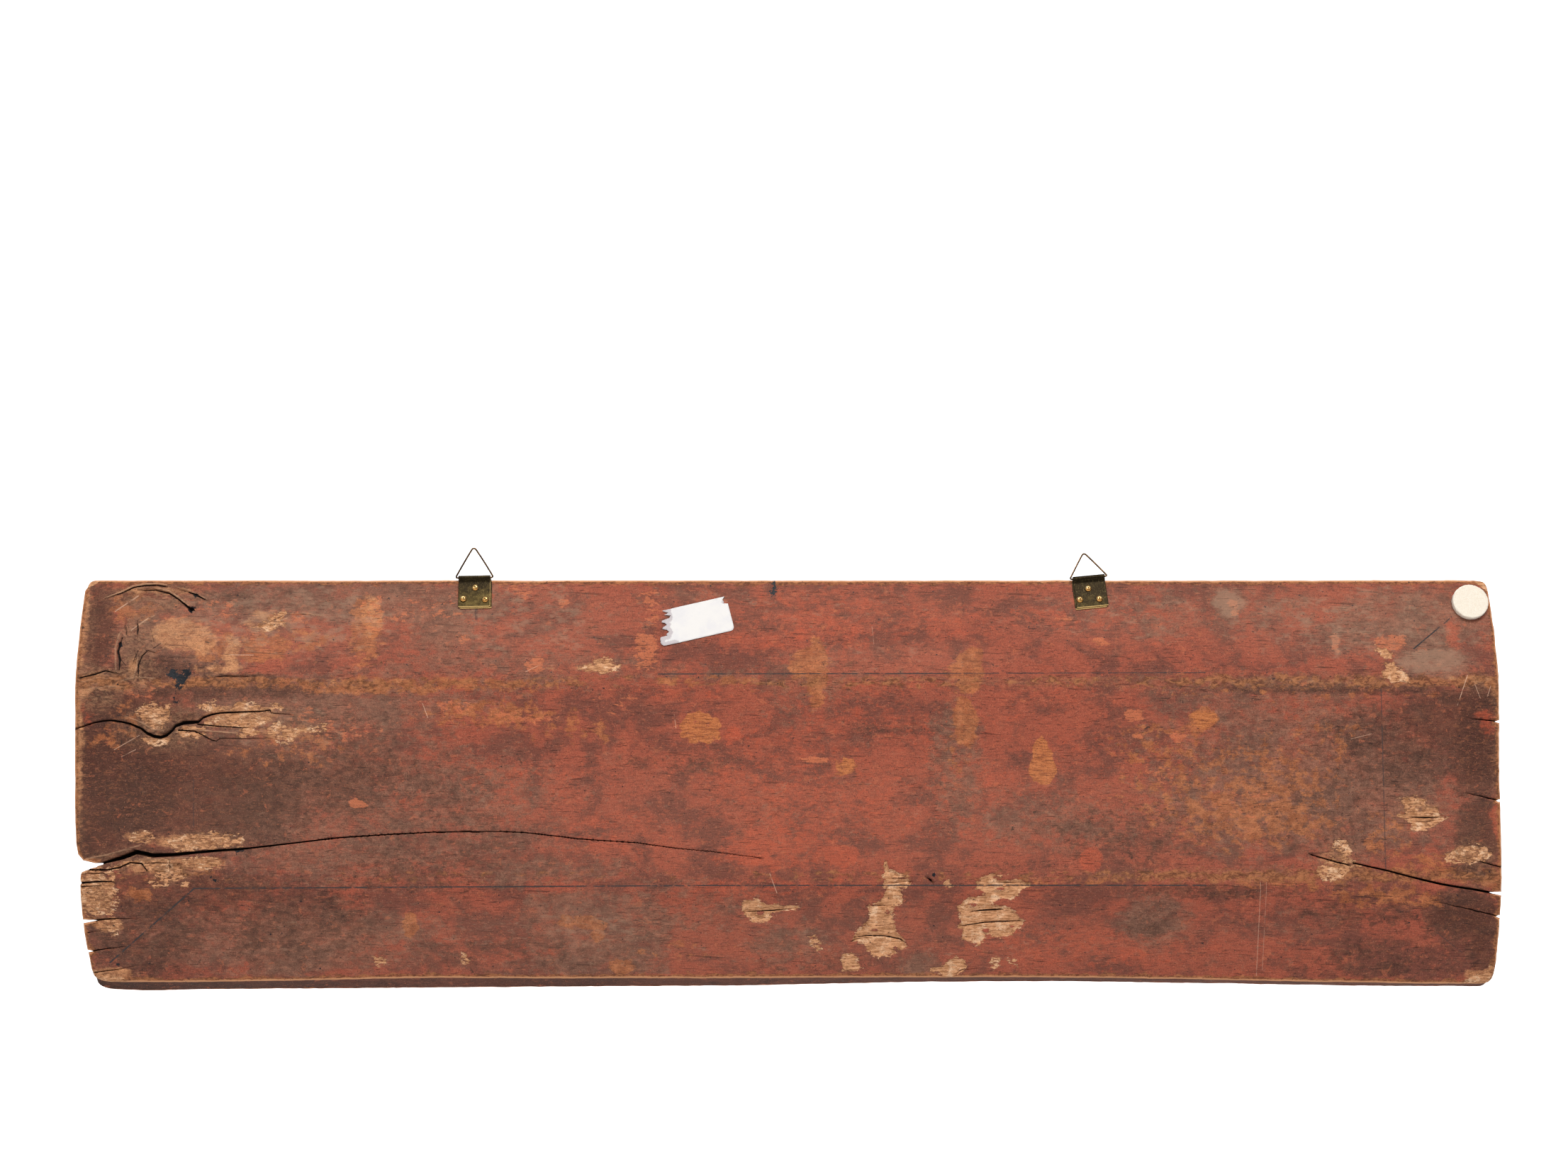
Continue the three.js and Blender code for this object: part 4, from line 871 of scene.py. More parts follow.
def front_surface(x, z, to_rim, board):
    """y of the carved front, and how much a point stands proud of the ground (0 to 1)."""
    ledge_depth, ground_depth = BORDER_LEDGE[3], CARVED_GROUND[3]
    ledge = inside_rounded(x, z, *BORDER_LEDGE[:3])
    ground = inside_rounded(x, z, *CARVED_GROUND[:3])
    floor = ground_depth + 0.25 * ripple(x, z, 7, 5, 61)
    sunk = ledge_depth * ease(0.3, -0.5, ledge)
    sunk = sunk + (floor - ledge_depth) * ease(0.3, -0.7, ground)
    rise = carving_rise(x, z) * ease(0.2, -0.6, ledge)
    height = np.maximum(ground_depth - sunk, rise * (ledge < 0))
    y = FRONT - ground_depth + height - 0.15 * (1 + rough(x, z, 40, 14, 71))
    return y - rounded_off(x, z, to_rim, board), height / ground_depth


# Mesh of the board

def bend(start, corner, end, count=7):
    """Points on a curve from start to end that turns at a corner."""
    t = np.linspace(0, 1, count)[:, None]
    start, corner, end = (np.array(p, float) for p in (start, corner, end))
    return ((1 - t) ** 2 * start + 2 * t * (1 - t) * corner + t ** 2 * end).tolist()


def evenly(points, step):
    """Points along a path, keeping its corners, with a new one at least every step."""
    made = []
    for a, b in zip(points[:-1], points[1:]):
        count = max(1, math.ceil(math.dist(a, b) / step))
        made += [(a[0] + (b[0] - a[0]) * k / count, a[1] + (b[1] - a[1]) * k / count) for k in range(count)]
    return made + [tuple(points[-1])]


def rim_loops():
    """The board's outline as seen from behind, at its back and at its front, point for point."""
    path = evenly([(-396.5, TOP_EDGE), (395.0, TOP_EDGE)], 2.2)[:-1]
    path += bend((395.0, TOP_EDGE), (401.0, TOP_EDGE), RIGHT_END[0])
    path += evenly(RIGHT_END, 1.5)[1:]
    path += bend((405.1, -107.0), (405.3, -116.3), (398.0, -116.3))[1:]
    path += evenly(UNDERSIDE_BACK[::-1], 2.2)[1:]
    path += bend((-385.0, -115.2), (-398.4, -115.4), (-398.4, -109.0), 9)[1:-1]
    path += evenly(LEFT_END[1:], 1.3)
    path += bend((-401.4, 109.0), (-401.5, TOP_EDGE), (-396.5, TOP_EDGE))[1:-1]
    back = np.array(path)
    front = back.copy()
    low_back = np.interp(back[:, 0], *zip(*UNDERSIDE_BACK))
    low_front = np.interp(back[:, 0], *zip(*UNDERSIDE_FRONT))
    front[:, 1] += (low_front - low_back) * ease(-92, -113, back[:, 1])
    for loop, seed in ((back, 21), (front, 23)):
        normal = outward(loop)
        x, z = loop.T
        nick = 0.22 * (1 + rough(x, z, 16, 16, seed)) + 0.12 * (1 + ripple(x, z, 3, 3, seed + 9))
        nick *= np.where(x > 385, 1.2, np.where(x < -385, 0.5, 1.0))
        loop -= normal * nick[:, None]
    return back, front


def outward(loop):
    """Normals of a clockwise loop, pointing out of it."""
    along = np.roll(loop, -1, axis=0) - np.roll(loop, 1, axis=0)
    along /= np.linalg.norm(along, axis=1)[:, None] + 1e-12
    return np.column_stack([-along[:, 1], along[:, 0]])


def rim_distance(points, loop):
    """Distance to the outline for points near it, and a large number for the rest."""
    far = np.full(len(points), 50.0)
    ends = (np.abs(points[:, 0]) > 384) | (np.abs(points[:, 1]) > 103)
    chosen = np.flatnonzero(ends)
    closed = np.vstack([loop, loop[:1]])
    a, b = closed[:-1], closed[1:]
    for start in range(0, len(chosen), 2000):
        part = chosen[start:start + 2000]
        p = points[part][:, None, :]
        along = (b - a)[None]
        t = np.clip(((p - a) * along).sum(2) / ((along ** 2).sum(2) + 1e-12), 0, 1)
        far[part] = np.sqrt((((p - a) - t[..., None] * along) ** 2).sum(2)).min(1)
    return far


def inside_loop(points, loop):
    """Which points lie inside a closed outline."""
    x, z = points[:, 0], points[:, 1]
    inside = np.zeros(len(points), bool)
    for (ax, az), (bx, bz) in zip(loop, np.roll(loop, -1, axis=0)):
        if az == bz:
            continue
        crosses = (az > z) != (bz > z)
        inside ^= crosses & (x < ax + (z - az) / (bz - az) * (bx - ax))
    return inside


def honeycomb(spacing, low, high, rng):
    """Points on a triangular grid, each pushed a little out of place."""
    xs = np.arange(low[0], high[0], spacing)
    zs = np.arange(low[1], high[1], spacing * 0.866)
    gx, gz = np.meshgrid(xs, zs)
    gx = gx + (np.arange(len(zs)) % 2)[:, None] * spacing / 2
    points = np.column_stack([gx.ravel(), gz.ravel()])
    return points + rng.uniform(-0.12, 0.12, points.shape) * spacing


def graded(spacings, wanted, rng):
    """Points whose spacing follows a field: each grid keeps the places that want its spacing."""
    kept = []
    for k, spacing in enumerate(spacings):
        points = honeycomb(spacing, (-404, -122), (406, 116), rng)
        kept.append(points[wanted(points[:, 0], points[:, 1]) == k])
    return np.vstack(kept)


def split_rows():
    """Rows of points along every split, on its floor, its two lips and just outside them."""
    rows = []
    for _, _, line in SPLITS + STRANDS:
        spine = [p[:2] for p in line]
        path = np.array(evenly(spine, 0.9))
        steps = np.concatenate([[0], np.cumsum(np.hypot(*np.diff(path, axis=0).T))])
        knots = np.concatenate([[0], np.cumsum([math.dist(a, b) for a, b in zip(spine[:-1], spine[1:])])])
        width = np.interp(steps, knots, [p[2] for p in line])
        normal = outward(path)
        normal[0], normal[-1] = normal[1], normal[-2]
        for share, extra in ((0, 0), (0.34, 0), (0.5, 0.08), (0.5, 0.5), (0.5, 1.3)):
            for side in ((1, -1) if share else (1,)):
                rows.append(path + normal * (side * (share * width + extra))[:, None])
    return np.vstack(rows)


def inner_rims(loop, offsets):
    """Rows of points just inside an outline."""
    return [loop - outward(loop) * offset for offset in offsets]


def back_points(back, rng):
    """Points of the back: close at flakes and ridges, and in rows along the splits and the rim."""
    left_to_rows = 9  # no grid fills these places

    def wanted(x, z):
        shown, _ = flake_field(x, z)
        near_split = np.full(x.shape, 99.0)
        for _, _, line in SPLITS + STRANDS:
            half = max(p[2] for p in line) / 2
            distance, _ = nearest_on_line(x, z, line)
            near_split = np.minimum(near_split, distance - half)
        level = np.zeros(x.shape)
        ridges = (np.abs(z - FIELD_TOP) < 5) | (np.abs(z - FIELD_BOTTOM) < 5)
        level[ridges | (shown > 0.02) | (near_split < 6)] = 1
        level[shown > 0.28] = 2
        level[near_split < 1.7] = left_to_rows
        return level

    inner = graded(BACK_SPACINGS, wanted, rng)
    return np.vstack([inner, split_rows(), *inner_rims(back, (0.35, 0.85, 1.7, 3.0))])


def front_points(front, rng):
    """Points of the carved front: close on the carving, closest at its border."""
    def wanted(x, z):
        steps = ((0, 0), (1.2, 0), (-1.2, 0), (0, 1.2), (0, -1.2))
        around = [carving_rise(x + dx, z + dz) for dx, dz in steps]
        ground = inside_rounded(x, z, *CARVED_GROUND[:3])
        ledge = inside_rounded(x, z, *BORDER_LEDGE[:3])
        level = np.zeros(x.shape)
        level[np.max(around, axis=0) > 0] = 1
        level[(np.abs(ground + 0.2) < 1.5) | (np.abs(ledge + 0.1) < 1.5)] = 2
        return level

    inner = graded(FRONT_SPACINGS, wanted, rng)
    return np.vstack([inner, *inner_rims(front, (0.5, 1.2, 2.6))])


def fill_loop(loop, inner):
    """Triangles inside a loop through its own points and the inner ones, and which of them are the loop's."""
    points = np.vstack([loop, inner])
    count = len(loop)
    edges = [(k, (k + 1) % count) for k in range(count)]
    made = delaunay_2d_cdt([Vector(p) for p in points.tolist()], edges, [list(range(count))[::-1]], 1, 1e-7)
    slots = {ids[0]: new for new, ids in enumerate(made[3]) if ids and ids[0] < count}
    rim = [slots[k] for k in range(count)]
    return np.array([tuple(v) for v in made[0]]), [tuple(face) for face in made[2]], rim


def triangulate(loop, inner):
    """Fills a loop, without inner points that crowd its rim or each other."""
    inner = inner[(rim_distance(inner, loop) > 0.3) & inside_loop(inner, loop)]
    cells = np.round(inner / 0.22).astype(np.int64)
    _, first = np.unique(cells[:, 0] * 1000003 + cells[:, 1], return_index=True)
    return fill_loop(loop, inner[np.sort(first)])


def side_rows(start, stop, normal):
    """Rows of points between the rims of the back and the front, dented a little."""
    along = np.arange(len(start)) * 1.9
    rows = []
    for k in range(1, SIDE_ROWS):
        share = k / SIDE_ROWS
        share = share - 0.06 * math.sin(2 * math.pi * share)
        row = start + (stop - start) * share
        y = row[:, 1]
        dent = 0.16 * (1 + ripple(along, y, 9, 4, 31)) + 0.12 * (1 + ripple(along, y, 2.6, 7, 33))
        dent *= ease(0, 0.12, share) * ease(1, 0.88, share)
        row[:, 0] -= normal[:, 0] * dent
        row[:, 2] -= normal[:, 1] * dent
        rows.append(row)
    return rows


def board_mesh(board):
    """The whole board as one closed mesh, and the fields that its finish reads, point by point."""
    rng = np.random.default_rng(11)
    back, front = rim_loops()
    b_points, b_faces, b_rim = triangulate(back, back_points(back, rng))
    f_points, f_faces, f_rim = triangulate(front, front_points(front, rng))
    b_gap, f_gap = rim_distance(b_points, back), rim_distance(f_points, front)
    b_y, b_flaked, b_split = back_surface(b_points[:, 0], b_points[:, 1], b_gap, board)
    f_y, f_proud = front_surface(f_points[:, 0], f_points[:, 1], f_gap, board)
    b_places = np.column_stack([b_points[:, 0], b_y, b_points[:, 1]])
    f_places = np.column_stack([f_points[:, 0], np.minimum(f_y, FRONT - 0.02), f_points[:, 1]])
    sides = side_rows(b_places[b_rim], f_places[f_rim], outward(back))

    count, b_count, f_count = len(back), len(b_places), len(f_places)
    places = np.vstack([b_places, f_places, *sides])
    side_starts = range(b_count + f_count, len(places), count)
    rails = [b_rim, *(range(start, start + count) for start in side_starts), [b_count + i for i in f_rim]]
    faces = b_faces + [tuple(reversed([b_count + i for i in face])) for face in f_faces]
    for near, far in zip(rails[:-1], rails[1:]):
        for i in range(count):
            j = (i + 1) % count
            faces += [(near[j], near[i], far[i]), (near[j], far[i], far[j])]
    return places, faces, board_fields(places, b_flaked, b_split, b_gap, f_gap, f_proud)


def ridge_wear(x, z):
    """How far the two ridges of the back are rubbed."""
    still = np.zeros(x.shape)
    wander = 0.8 * ripple(x, still, 60, 400, 81)
    top = ease(7.4, 1.0, np.abs(z - 56.4 + 1.2 * ease(250, 0, x) - wander))
    low = ease(7.4, 1.0, np.abs(z + 53.6 - wander))
    top_strength = 0.37 + 0.12 * ripple(x, still, 30, 9, 85)
    top_strength = top_strength + 0.17 * ease(120, 260, x) + 0.17 * ease(-120, -220, x)
    low_strength = 0.30 + 0.26 * ease(140, 230, x) + 0.08 * ease(-60, 40, x)
    return np.maximum(top * top_strength, low * low_strength)


def board_fields(places, flaked, split, b_gap, f_gap, proud):
    """Masks for the finish: 0.5 is the edge of a place before the shader makes it ragged."""
    x, y, z = places.T
    total, b_count, f_count = len(places), len(b_gap), len(f_gap)
    is_back = np.arange(total) < b_count
    is_front = ~is_back & (np.arange(total) < b_count + f_count)
    is_face = is_back | is_front
    is_side = ~is_face
    fields = {name: np.zeros(total) for name in ("bare", "rub", "deep")}
    fields["bare"][:b_count] = flaked
    # The splits' depth, which the finish paints near black: painted shadow inside the splits
    fields["deep"][:b_count] = np.clip(split / 1.2, 0, 1)

    rub = fields["rub"]
    gap = np.concatenate([b_gap, f_gap])
    rub[is_face] = ease(4.5, 0.3, gap) * 0.95
    back_y = bevel(np.clip(z, BOTTOM_EDGE, TOP_EDGE))
    rub[is_side] = (0.8 * ease(3.2, 0.2, np.minimum(y - back_y, FRONT - y)))[is_side]
    rub[is_back] = np.maximum(rub, ridge_wear(x, z))[is_back]
    inset = inside_rounded(x, z, *CARVED_GROUND[:3])[is_front]
    rub[is_front] = np.maximum(rub[is_front], np.where(inset < -1, 0.46 * ease(0.45, 0.75, proud), 0.30))
    rub[is_face] += 0.6 * ease(1.7, 0.3, gap)

    for name, (stains, level, swing, noise) in STAINS.items():
        fields[name] = spots(x, z, stains) + level + swing * rough(x, z, *noise)
    for name, patches in PATCHES.items():
        fields[name] = spots(x, z, patches)
    fields["dab"] = np.zeros(total)
    for name, strength, outline in DABS:
        near, inner = reach_inside(x, z, outline)
        edge = 0.5 + np.clip(inner / 2.4, -0.5, strength - 0.5)
        fields[name][near] = np.maximum(fields[name][near], edge)
    fields["strand"] = strand_field(x, z)[1]
    for name in ("bright", "ochre", "dab", "strand", *PATCHES):
        fields[name][~is_back] = 0.0

    grime, dark = fields["grime"], fields["dark"]
    broad = rough(x, z, 70, 26, 101)
    grime[is_front] = 0.5 + 0.3 * (1 - proud) + 0.2 * broad[is_front]
    # On the front the sunk ground is painted darker, and darker still at the carving's foot: painted shade in
    # the recess and where the carving meets its ground
    foot_shade = ease(0.0, 0.12, proud) * ease(0.35, 0.15, proud)
    dark[is_front] = 0.92 - 0.85 * proud + 0.5 * foot_shade
    # The underside is painted darker, and darker still towards the left end: painted shade under the board
    # and a painted shadow at its left end
    under = (z < -105) * 1.0
    grime[is_side] = (0.42 + 0.25 * broad - 0.6 * under)[is_side]
    dark[is_side] = (0.3 + 0.55 * under + 0.8 * under * ease(-300, -390, x) + 0.2 * broad)[is_side]
    fields["end_grain"] = (is_side & (np.abs(x) > 386) & (np.abs(z) < 112)) * 1.0
    fields["back"] = is_back * 1.0
    return fields


def put_mesh(name, places, faces, material, smooth=True):
    """A mesh object from places in metres, with its faces turned outwards."""
    mesh = bpy.data.meshes.new(name)
    mesh.from_pydata([tuple(p) for p in np.asarray(places).tolist()], [], faces)
    mesh.update()
    work = bmesh.new()
    work.from_mesh(mesh)
    bmesh.ops.recalc_face_normals(work, faces=work.faces)
    work.to_mesh(mesh)
    work.free()
    for polygon in mesh.polygons:
        polygon.use_smooth = smooth
    mesh.materials.append(material)
    made = bpy.data.objects.new(name, mesh)
    bpy.context.scene.collection.objects.link(made)
    return made


def add_field(mesh, name, values):
    layer = mesh.attributes.new(name, "FLOAT", "POINT")
    layer.data.foreach_set("value", np.asarray(values, np.float32))


# Shades that no setting holds

SHADES = {
    "faded red": (0.46, 0.115, 0.058), "pale grime": (0.27, 0.15, 0.098),
    "black stain and shade": (0.04, 0.021, 0.015), "brown stain and shade": (0.14, 0.062, 0.04), "soot_and_shade": (0.022, 0.013, 0.01),
    "red fleck": (0.36, 0.13, 0.06), "red crumb": (0.5, 0.14, 0.065), "deep ochre": (0.33, 0.098, 0.032),
    "light ochre": (0.58, 0.2, 0.072), "deep dab": (0.4, 0.115, 0.036), "light dab": (0.62, 0.215, 0.07),
    "salmon": (0.62, 0.175, 0.075), "deep tan": (0.33, 0.125, 0.052), "light tan": (0.72, 0.335, 0.15),
    "torn shadow": (0.075, 0.036, 0.022), "torn fibre": (0.44, 0.235, 0.125),
    "dark fibre": (0.105, 0.042, 0.03), "light fibre": (0.5, 0.165, 0.095),
    "dark speck": (0.065, 0.03, 0.024), "light speck": (0.6, 0.27, 0.17), "pore": (0.03, 0.014, 0.012),
    "check": (0.028, 0.013, 0.011), "paint crack": (0.035, 0.02, 0.016), "dark crumb": (0.04, 0.026, 0.02),
    "warm dust and light": (0.45, 0.245, 0.16), "grey dust and light": (0.37, 0.23, 0.15),
    "rubbed shadow": (0.11, 0.042, 0.019), "rubbed wood": (0.43, 0.165, 0.066),
    "bare arris": (0.64, 0.3, 0.145), "raw shadow": (0.36, 0.155, 0.066), "raw light": (0.92, 0.62, 0.4),
    "raw stain": (0.2, 0.085, 0.04), "raw speck": (0.22, 0.105, 0.055), "raw pore": (0.13, 0.055, 0.025),
    "end shadow": (0.13, 0.055, 0.028), "end light": (0.46, 0.24, 0.11), "pencil": (0.045, 0.04, 0.04),
    "hair crack": (0.022, 0.012, 0.01), "scratch": (0.72, 0.44, 0.3), "strand": (0.62, 0.36, 0.21),
    "tar": (0.012, 0.013, 0.016), "split": (0.012, 0.007, 0.006), "dark reflected brass": (0.016, 0.01, 0.004),
    "brass grit": (0.26, 0.2, 0.075), "brass scratch": (0.34, 0.25, 0.1), "worn brass": (0.62, 0.42, 0.17),
    "dull screw": (0.66, 0.36, 0.11), "reflected_amber": (0.62, 0.27, 0.055), "slot shade": (0.06, 0.038, 0.016),
    "dark wire": (0.045, 0.026, 0.015), "light wire": (0.2, 0.11, 0.05), "felt shadow": (0.8, 0.68, 0.53),
    "felt side shade": (0.48, 0.38, 0.27), "paper cloud": (0.74, 0.715, 0.71), "paper tear shade": (0.5, 0.44, 0.45),
}


# Shader helpers

FLOAT, VECTOR = "NodeSocketFloat", "NodeSocketVector"


class Bench:
    """Adds shader nodes to one tree. Each call gives back the socket that holds its result."""

    def __init__(self, tree):
        self.tree = tree

    def feed(self, socket, value):
        if isinstance(value, bpy.types.NodeSocket):
            self.tree.links.new(value, socket)
        elif value is not None:
            socket.default_value = value

    def calc(self, operation, first, second=None, clamp=False):
        node = self.tree.nodes.new("ShaderNodeMath")
        node.operation = operation
        node.use_clamp = clamp
        self.feed(node.inputs[0], first)
        self.feed(node.inputs[1], second)
        return node.outputs[0]

    def plus(self, first, second, clamp=False):
        return self.calc("ADD", first, second, clamp)

    def minus(self, first, second):
        return self.calc("SUBTRACT", first, second)

    def times(self, first, second, clamp=False):
        return self.calc("MULTIPLY", first, second, clamp)

    def swing(self, value, factor, middle=0.5):
        """How far a noise lies from its middle, scaled."""
        return self.times(self.minus(value, middle), factor)

    def vector(self, operation, first, second=None):
        node = self.tree.nodes.new("ShaderNodeVectorMath")
        node.operation = operation
        self.feed(node.inputs[0], first)
        self.feed(node.inputs["Scale" if operation == "SCALE" else 1], second)
        return node.outputs["Value" if operation in ("LENGTH", "DOT_PRODUCT") else "Vector"]

    def step(self, value, low, high):
        """0 up to low, 1 from high, and smooth between."""
        node = self.tree.nodes.new("ShaderNodeMapRange")
        node.interpolation_type = "SMOOTHSTEP"
        for name, given in (("Value", value), ("From Min", low), ("From Max", high)):
            self.feed(node.inputs[name], given)
        return node.outputs["Result"]

    def noise(self, vector, scale, detail=3.0, roughness=0.55, distortion=0.0):
        node = self.tree.nodes.new("ShaderNodeTexNoise")
        names = ("Vector", "Scale", "Detail", "Roughness", "Distortion")
        for name, given in zip(names, (vector, scale, detail, roughness, distortion)):
            self.feed(node.inputs[name], given)
        return node.outputs["Fac"]

    def grain(self, vector, stretch, *values):
        """Noise that is drawn out along the board where stretch is below 1."""
        return self.noise(self.vector("MULTIPLY", vector, (stretch, 1, 1)), *values)

    def mix(self, factor, under, over):
        """Two shades, each a socket, a colour or a name in SHADES."""
        node = self.tree.nodes.new("ShaderNodeMix")
        node.data_type = "RGBA"
        self.feed(node.inputs["Factor"], factor)
        for name, shade in (("A", under), ("B", over)):
            if isinstance(shade, str):
                shade = SHADES[shade]
            if not isinstance(shade, bpy.types.NodeSocket):
                shade = (*shade, 1.0)
            self.feed(node.inputs[name], shade)
        return node.outputs["Result"]

    def tint(self, under, mask, over, strength=1.0):
        amount = mask if strength == 1.0 else self.times(mask, strength)
        return self.mix(amount, under, over)

    def field(self, name):
        """A point attribute of the mesh."""
        node = self.tree.nodes.new("ShaderNodeAttribute")
        node.attribute_name = name
        return node.outputs["Fac"]

    def group(self, group, **values):
        node = self.tree.nodes.new("ShaderNodeGroup")
        node.node_tree = group
        for label, value in values.items():
            self.feed(node.inputs[label.replace("_", " ")], value)
        return node.outputs

    def bump(self, shader, height, distance, strength):
        node = self.tree.nodes.new("ShaderNodeBump")
        node.inputs["Strength"].default_value = strength
        node.inputs["Distance"].default_value = distance
        self.feed(node.inputs["Height"], height)
        self.feed(shader.inputs["Normal"], node.outputs["Normal"])


def new_group(name, inputs, outputs):
    """A shader node group. Inputs are (name, kind, default), and outputs are names of plain values."""
    tree = bpy.data.node_groups.new(name, "ShaderNodeTree")
    for label, kind, default in inputs:
        socket = tree.interface.new_socket(name=label, in_out="INPUT", socket_type=kind)
        if default is not None:
            socket.default_value = default
    for label in outputs:
        tree.interface.new_socket(name=label, in_out="OUTPUT", socket_type=FLOAT)
    given = tree.nodes.new("NodeGroupInput").outputs
    return Bench(tree), given, tree.nodes.new("NodeGroupOutput").inputs


def ragged_patch_group():
    """Turns a soft mask into a patch whose edge breaks up along the grain."""
    bench, given, out = new_group("Ragged Patch", [
        ("Vector", VECTOR, None), ("Mask", FLOAT, 0.0), ("Size", FLOAT, 260.0), ("Raggedness", FLOAT, 0.5),
        ("Edge", FLOAT, 0.06), ("Stretch", FLOAT, 0.5)], ["Patch"])
    along = bench.tree.nodes.new("ShaderNodeCombineXYZ")
    for socket, value in zip(along.inputs, (given["Stretch"], 1.0, 1.0)):
        bench.feed(socket, value)
    place = bench.vector("MULTIPLY", given["Vector"], along.outputs[0])
    coarse = bench.noise(place, given["Size"], 5.0, 0.68)
    spread = bench.swing(coarse, given["Raggedness"])
    level = bench.plus(given["Mask"], bench.times(spread, 2.0))
    low = bench.minus(0.5, given["Edge"])
    high = bench.plus(0.5, given["Edge"])
    bench.feed(out["Patch"], bench.step(level, low, high))
    return bench.tree


def wood_grain_group():
    """Fibres, pores, clouds, mottle, specks, crumbs, paint cracks and slanted checks of wood along x."""
    names = ("Fibre", "Pores", "Cloud", "Mottle", "Speckle", "Crumbs", "Cracks", "Checks")
    bench, given, out = new_group("Wood Grain", [("Vector", VECTOR, None)], names)
    source = given["Vector"]
    bent = bench.vector("ADD", source, bench.vector("SCALE", sway(bench, source), 0.010))
    fibre = bench.grain(bent, 0.16, 1100.0, 4.0, 0.72)
    pore = bench.grain(bent, 0.07, 2100.0, 1.0, 0.5)
    crowded = bench.grain(source, 0.5, 42.0, 3.0, 0.6)
    threshold = bench.minus(0.815, bench.times(crowded, 0.24))
    pores = bench.step(pore, threshold, bench.plus(threshold, 0.05))
    cloud = bench.grain(source, 0.7, 42.0, 8.0, 0.70, 0.4)
    mottle = bench.grain(source, 0.8, 170.0, 8.0, 0.80, 0.3)
    speckle = bench.noise(source, 1500.0, 3.0, 0.8)
    crumbs = bench.grain(source, 0.8, 210.0, 6.0, 0.68, 0.5)
    edge = bench.calc("ABSOLUTE", bench.minus(crumbs, 0.545))
    cracks = bench.times(bench.step(edge, 0.011, 0.002), bench.step(cloud, 0.47, 0.58))
    slant = bench.vector("MULTIPLY", along_board(bench, source), (0, 0, 0.05))
    slanted = bench.vector("ADD", source, slant)
    checks = bench.step(bench.grain(slanted, 0.05, 780.0, 1.0, 0.5), 0.70, 0.74)
    for name, socket in zip(names, (fibre, pores, cloud, mottle, speckle, crumbs, cracks, checks)):
        bench.feed(out[name], socket)
    return bench.tree


def along_board(bench, source):
    """How far a place lies along the board, in every part of a vector."""
    split = bench.tree.nodes.new("ShaderNodeSeparateXYZ")
    bench.feed(split.inputs[0], source)
    joined = bench.tree.nodes.new("ShaderNodeCombineXYZ")
    for socket in joined.inputs:
        bench.feed(socket, split.outputs["X"])
    return joined.outputs[0]


def sway(bench, source):
    """A slow sideways drift of the grain."""
    node = bench.tree.nodes.new("ShaderNodeTexNoise")
    bench.feed(node.inputs["Vector"], bench.vector("MULTIPLY", source, (0.35, 1, 1)))
    node.inputs["Scale"].default_value = 22.0
    return bench.vector("SUBTRACT", node.outputs["Color"], (0.5, 0.5, 0.5))


def drawn_line_group():
    """A thin straight line on the board between two places, broken here and there."""
    bench, given, out = new_group("Drawn Line", [
        ("Vector", VECTOR, None), ("Start", VECTOR, None), ("End", VECTOR, None), ("Width", FLOAT, 0.0004),
        ("Strength", FLOAT, 1.0)], ["Line"])
    width = given["Width"]
    flat = bench.vector("MULTIPLY", given["Vector"], (1, 0, 1))
    reach = bench.vector("SUBTRACT", given["End"], given["Start"])
    offset = bench.vector("SUBTRACT", flat, given["Start"])
    share = bench.calc("DIVIDE", bench.vector("DOT_PRODUCT", offset, reach),
                       bench.vector("DOT_PRODUCT", reach, reach), clamp=True)
    away = bench.vector("LENGTH", bench.vector("SUBTRACT", offset, bench.vector("SCALE", reach, share)))
    wobble = bench.swing(bench.noise(flat, 900.0, 2.0), width, 0.45)
    line = bench.step(bench.plus(away, wobble), bench.times(width, 1.15), bench.times(width, 0.45))
    broken = bench.step(bench.noise(flat, 160.0, 3.0, 0.65), 0.34, 0.5)
    bench.feed(out["Line"], bench.times(bench.times(line, broken), given["Strength"]))
    return bench.tree


def tarnish_group():
    """Blotches, fine scratches and grit on old brass."""
    bench, given, out = new_group("Tarnish", [("Vector", VECTOR, None), ("Blotch Size", FLOAT, 300.0)],
                                  ["Blotch", "Scratch", "Grit"])
    source = given["Vector"]
    blotch = bench.noise(source, given["Blotch Size"], 5.0, 0.65, 0.5)
    turned = bench.vector("MULTIPLY", source, (1, 1, 0.08))
    scratch = bench.step(bench.noise(turned, 2600.0, 2.0, 0.5), 0.6, 0.72)
    grit = bench.noise(source, 2400.0, 3.0, 0.7)
    for name, socket in (("Blotch", blotch), ("Scratch", scratch), ("Grit", grit)):
        bench.feed(out[name], socket)
    return bench.tree


def group_of(name, build):
    return bpy.data.node_groups.get(name) or build()


def new_material(name):
    """A material with its Principled shader, a bench for its nodes and the object's own coordinates."""
    material = bpy.data.materials.new(name)
    material.use_nodes = True
    tree = material.node_tree
    place = tree.nodes.new("ShaderNodeTexCoord").outputs["Object"]
    return material, Bench(tree), tree.nodes["Principled BSDF"], place


def tarnished(bench, place, blotch_size):
    return bench.group(group_of("Tarnish", tarnish_group), Vector=place, Blotch_Size=blotch_size)


# Finishes

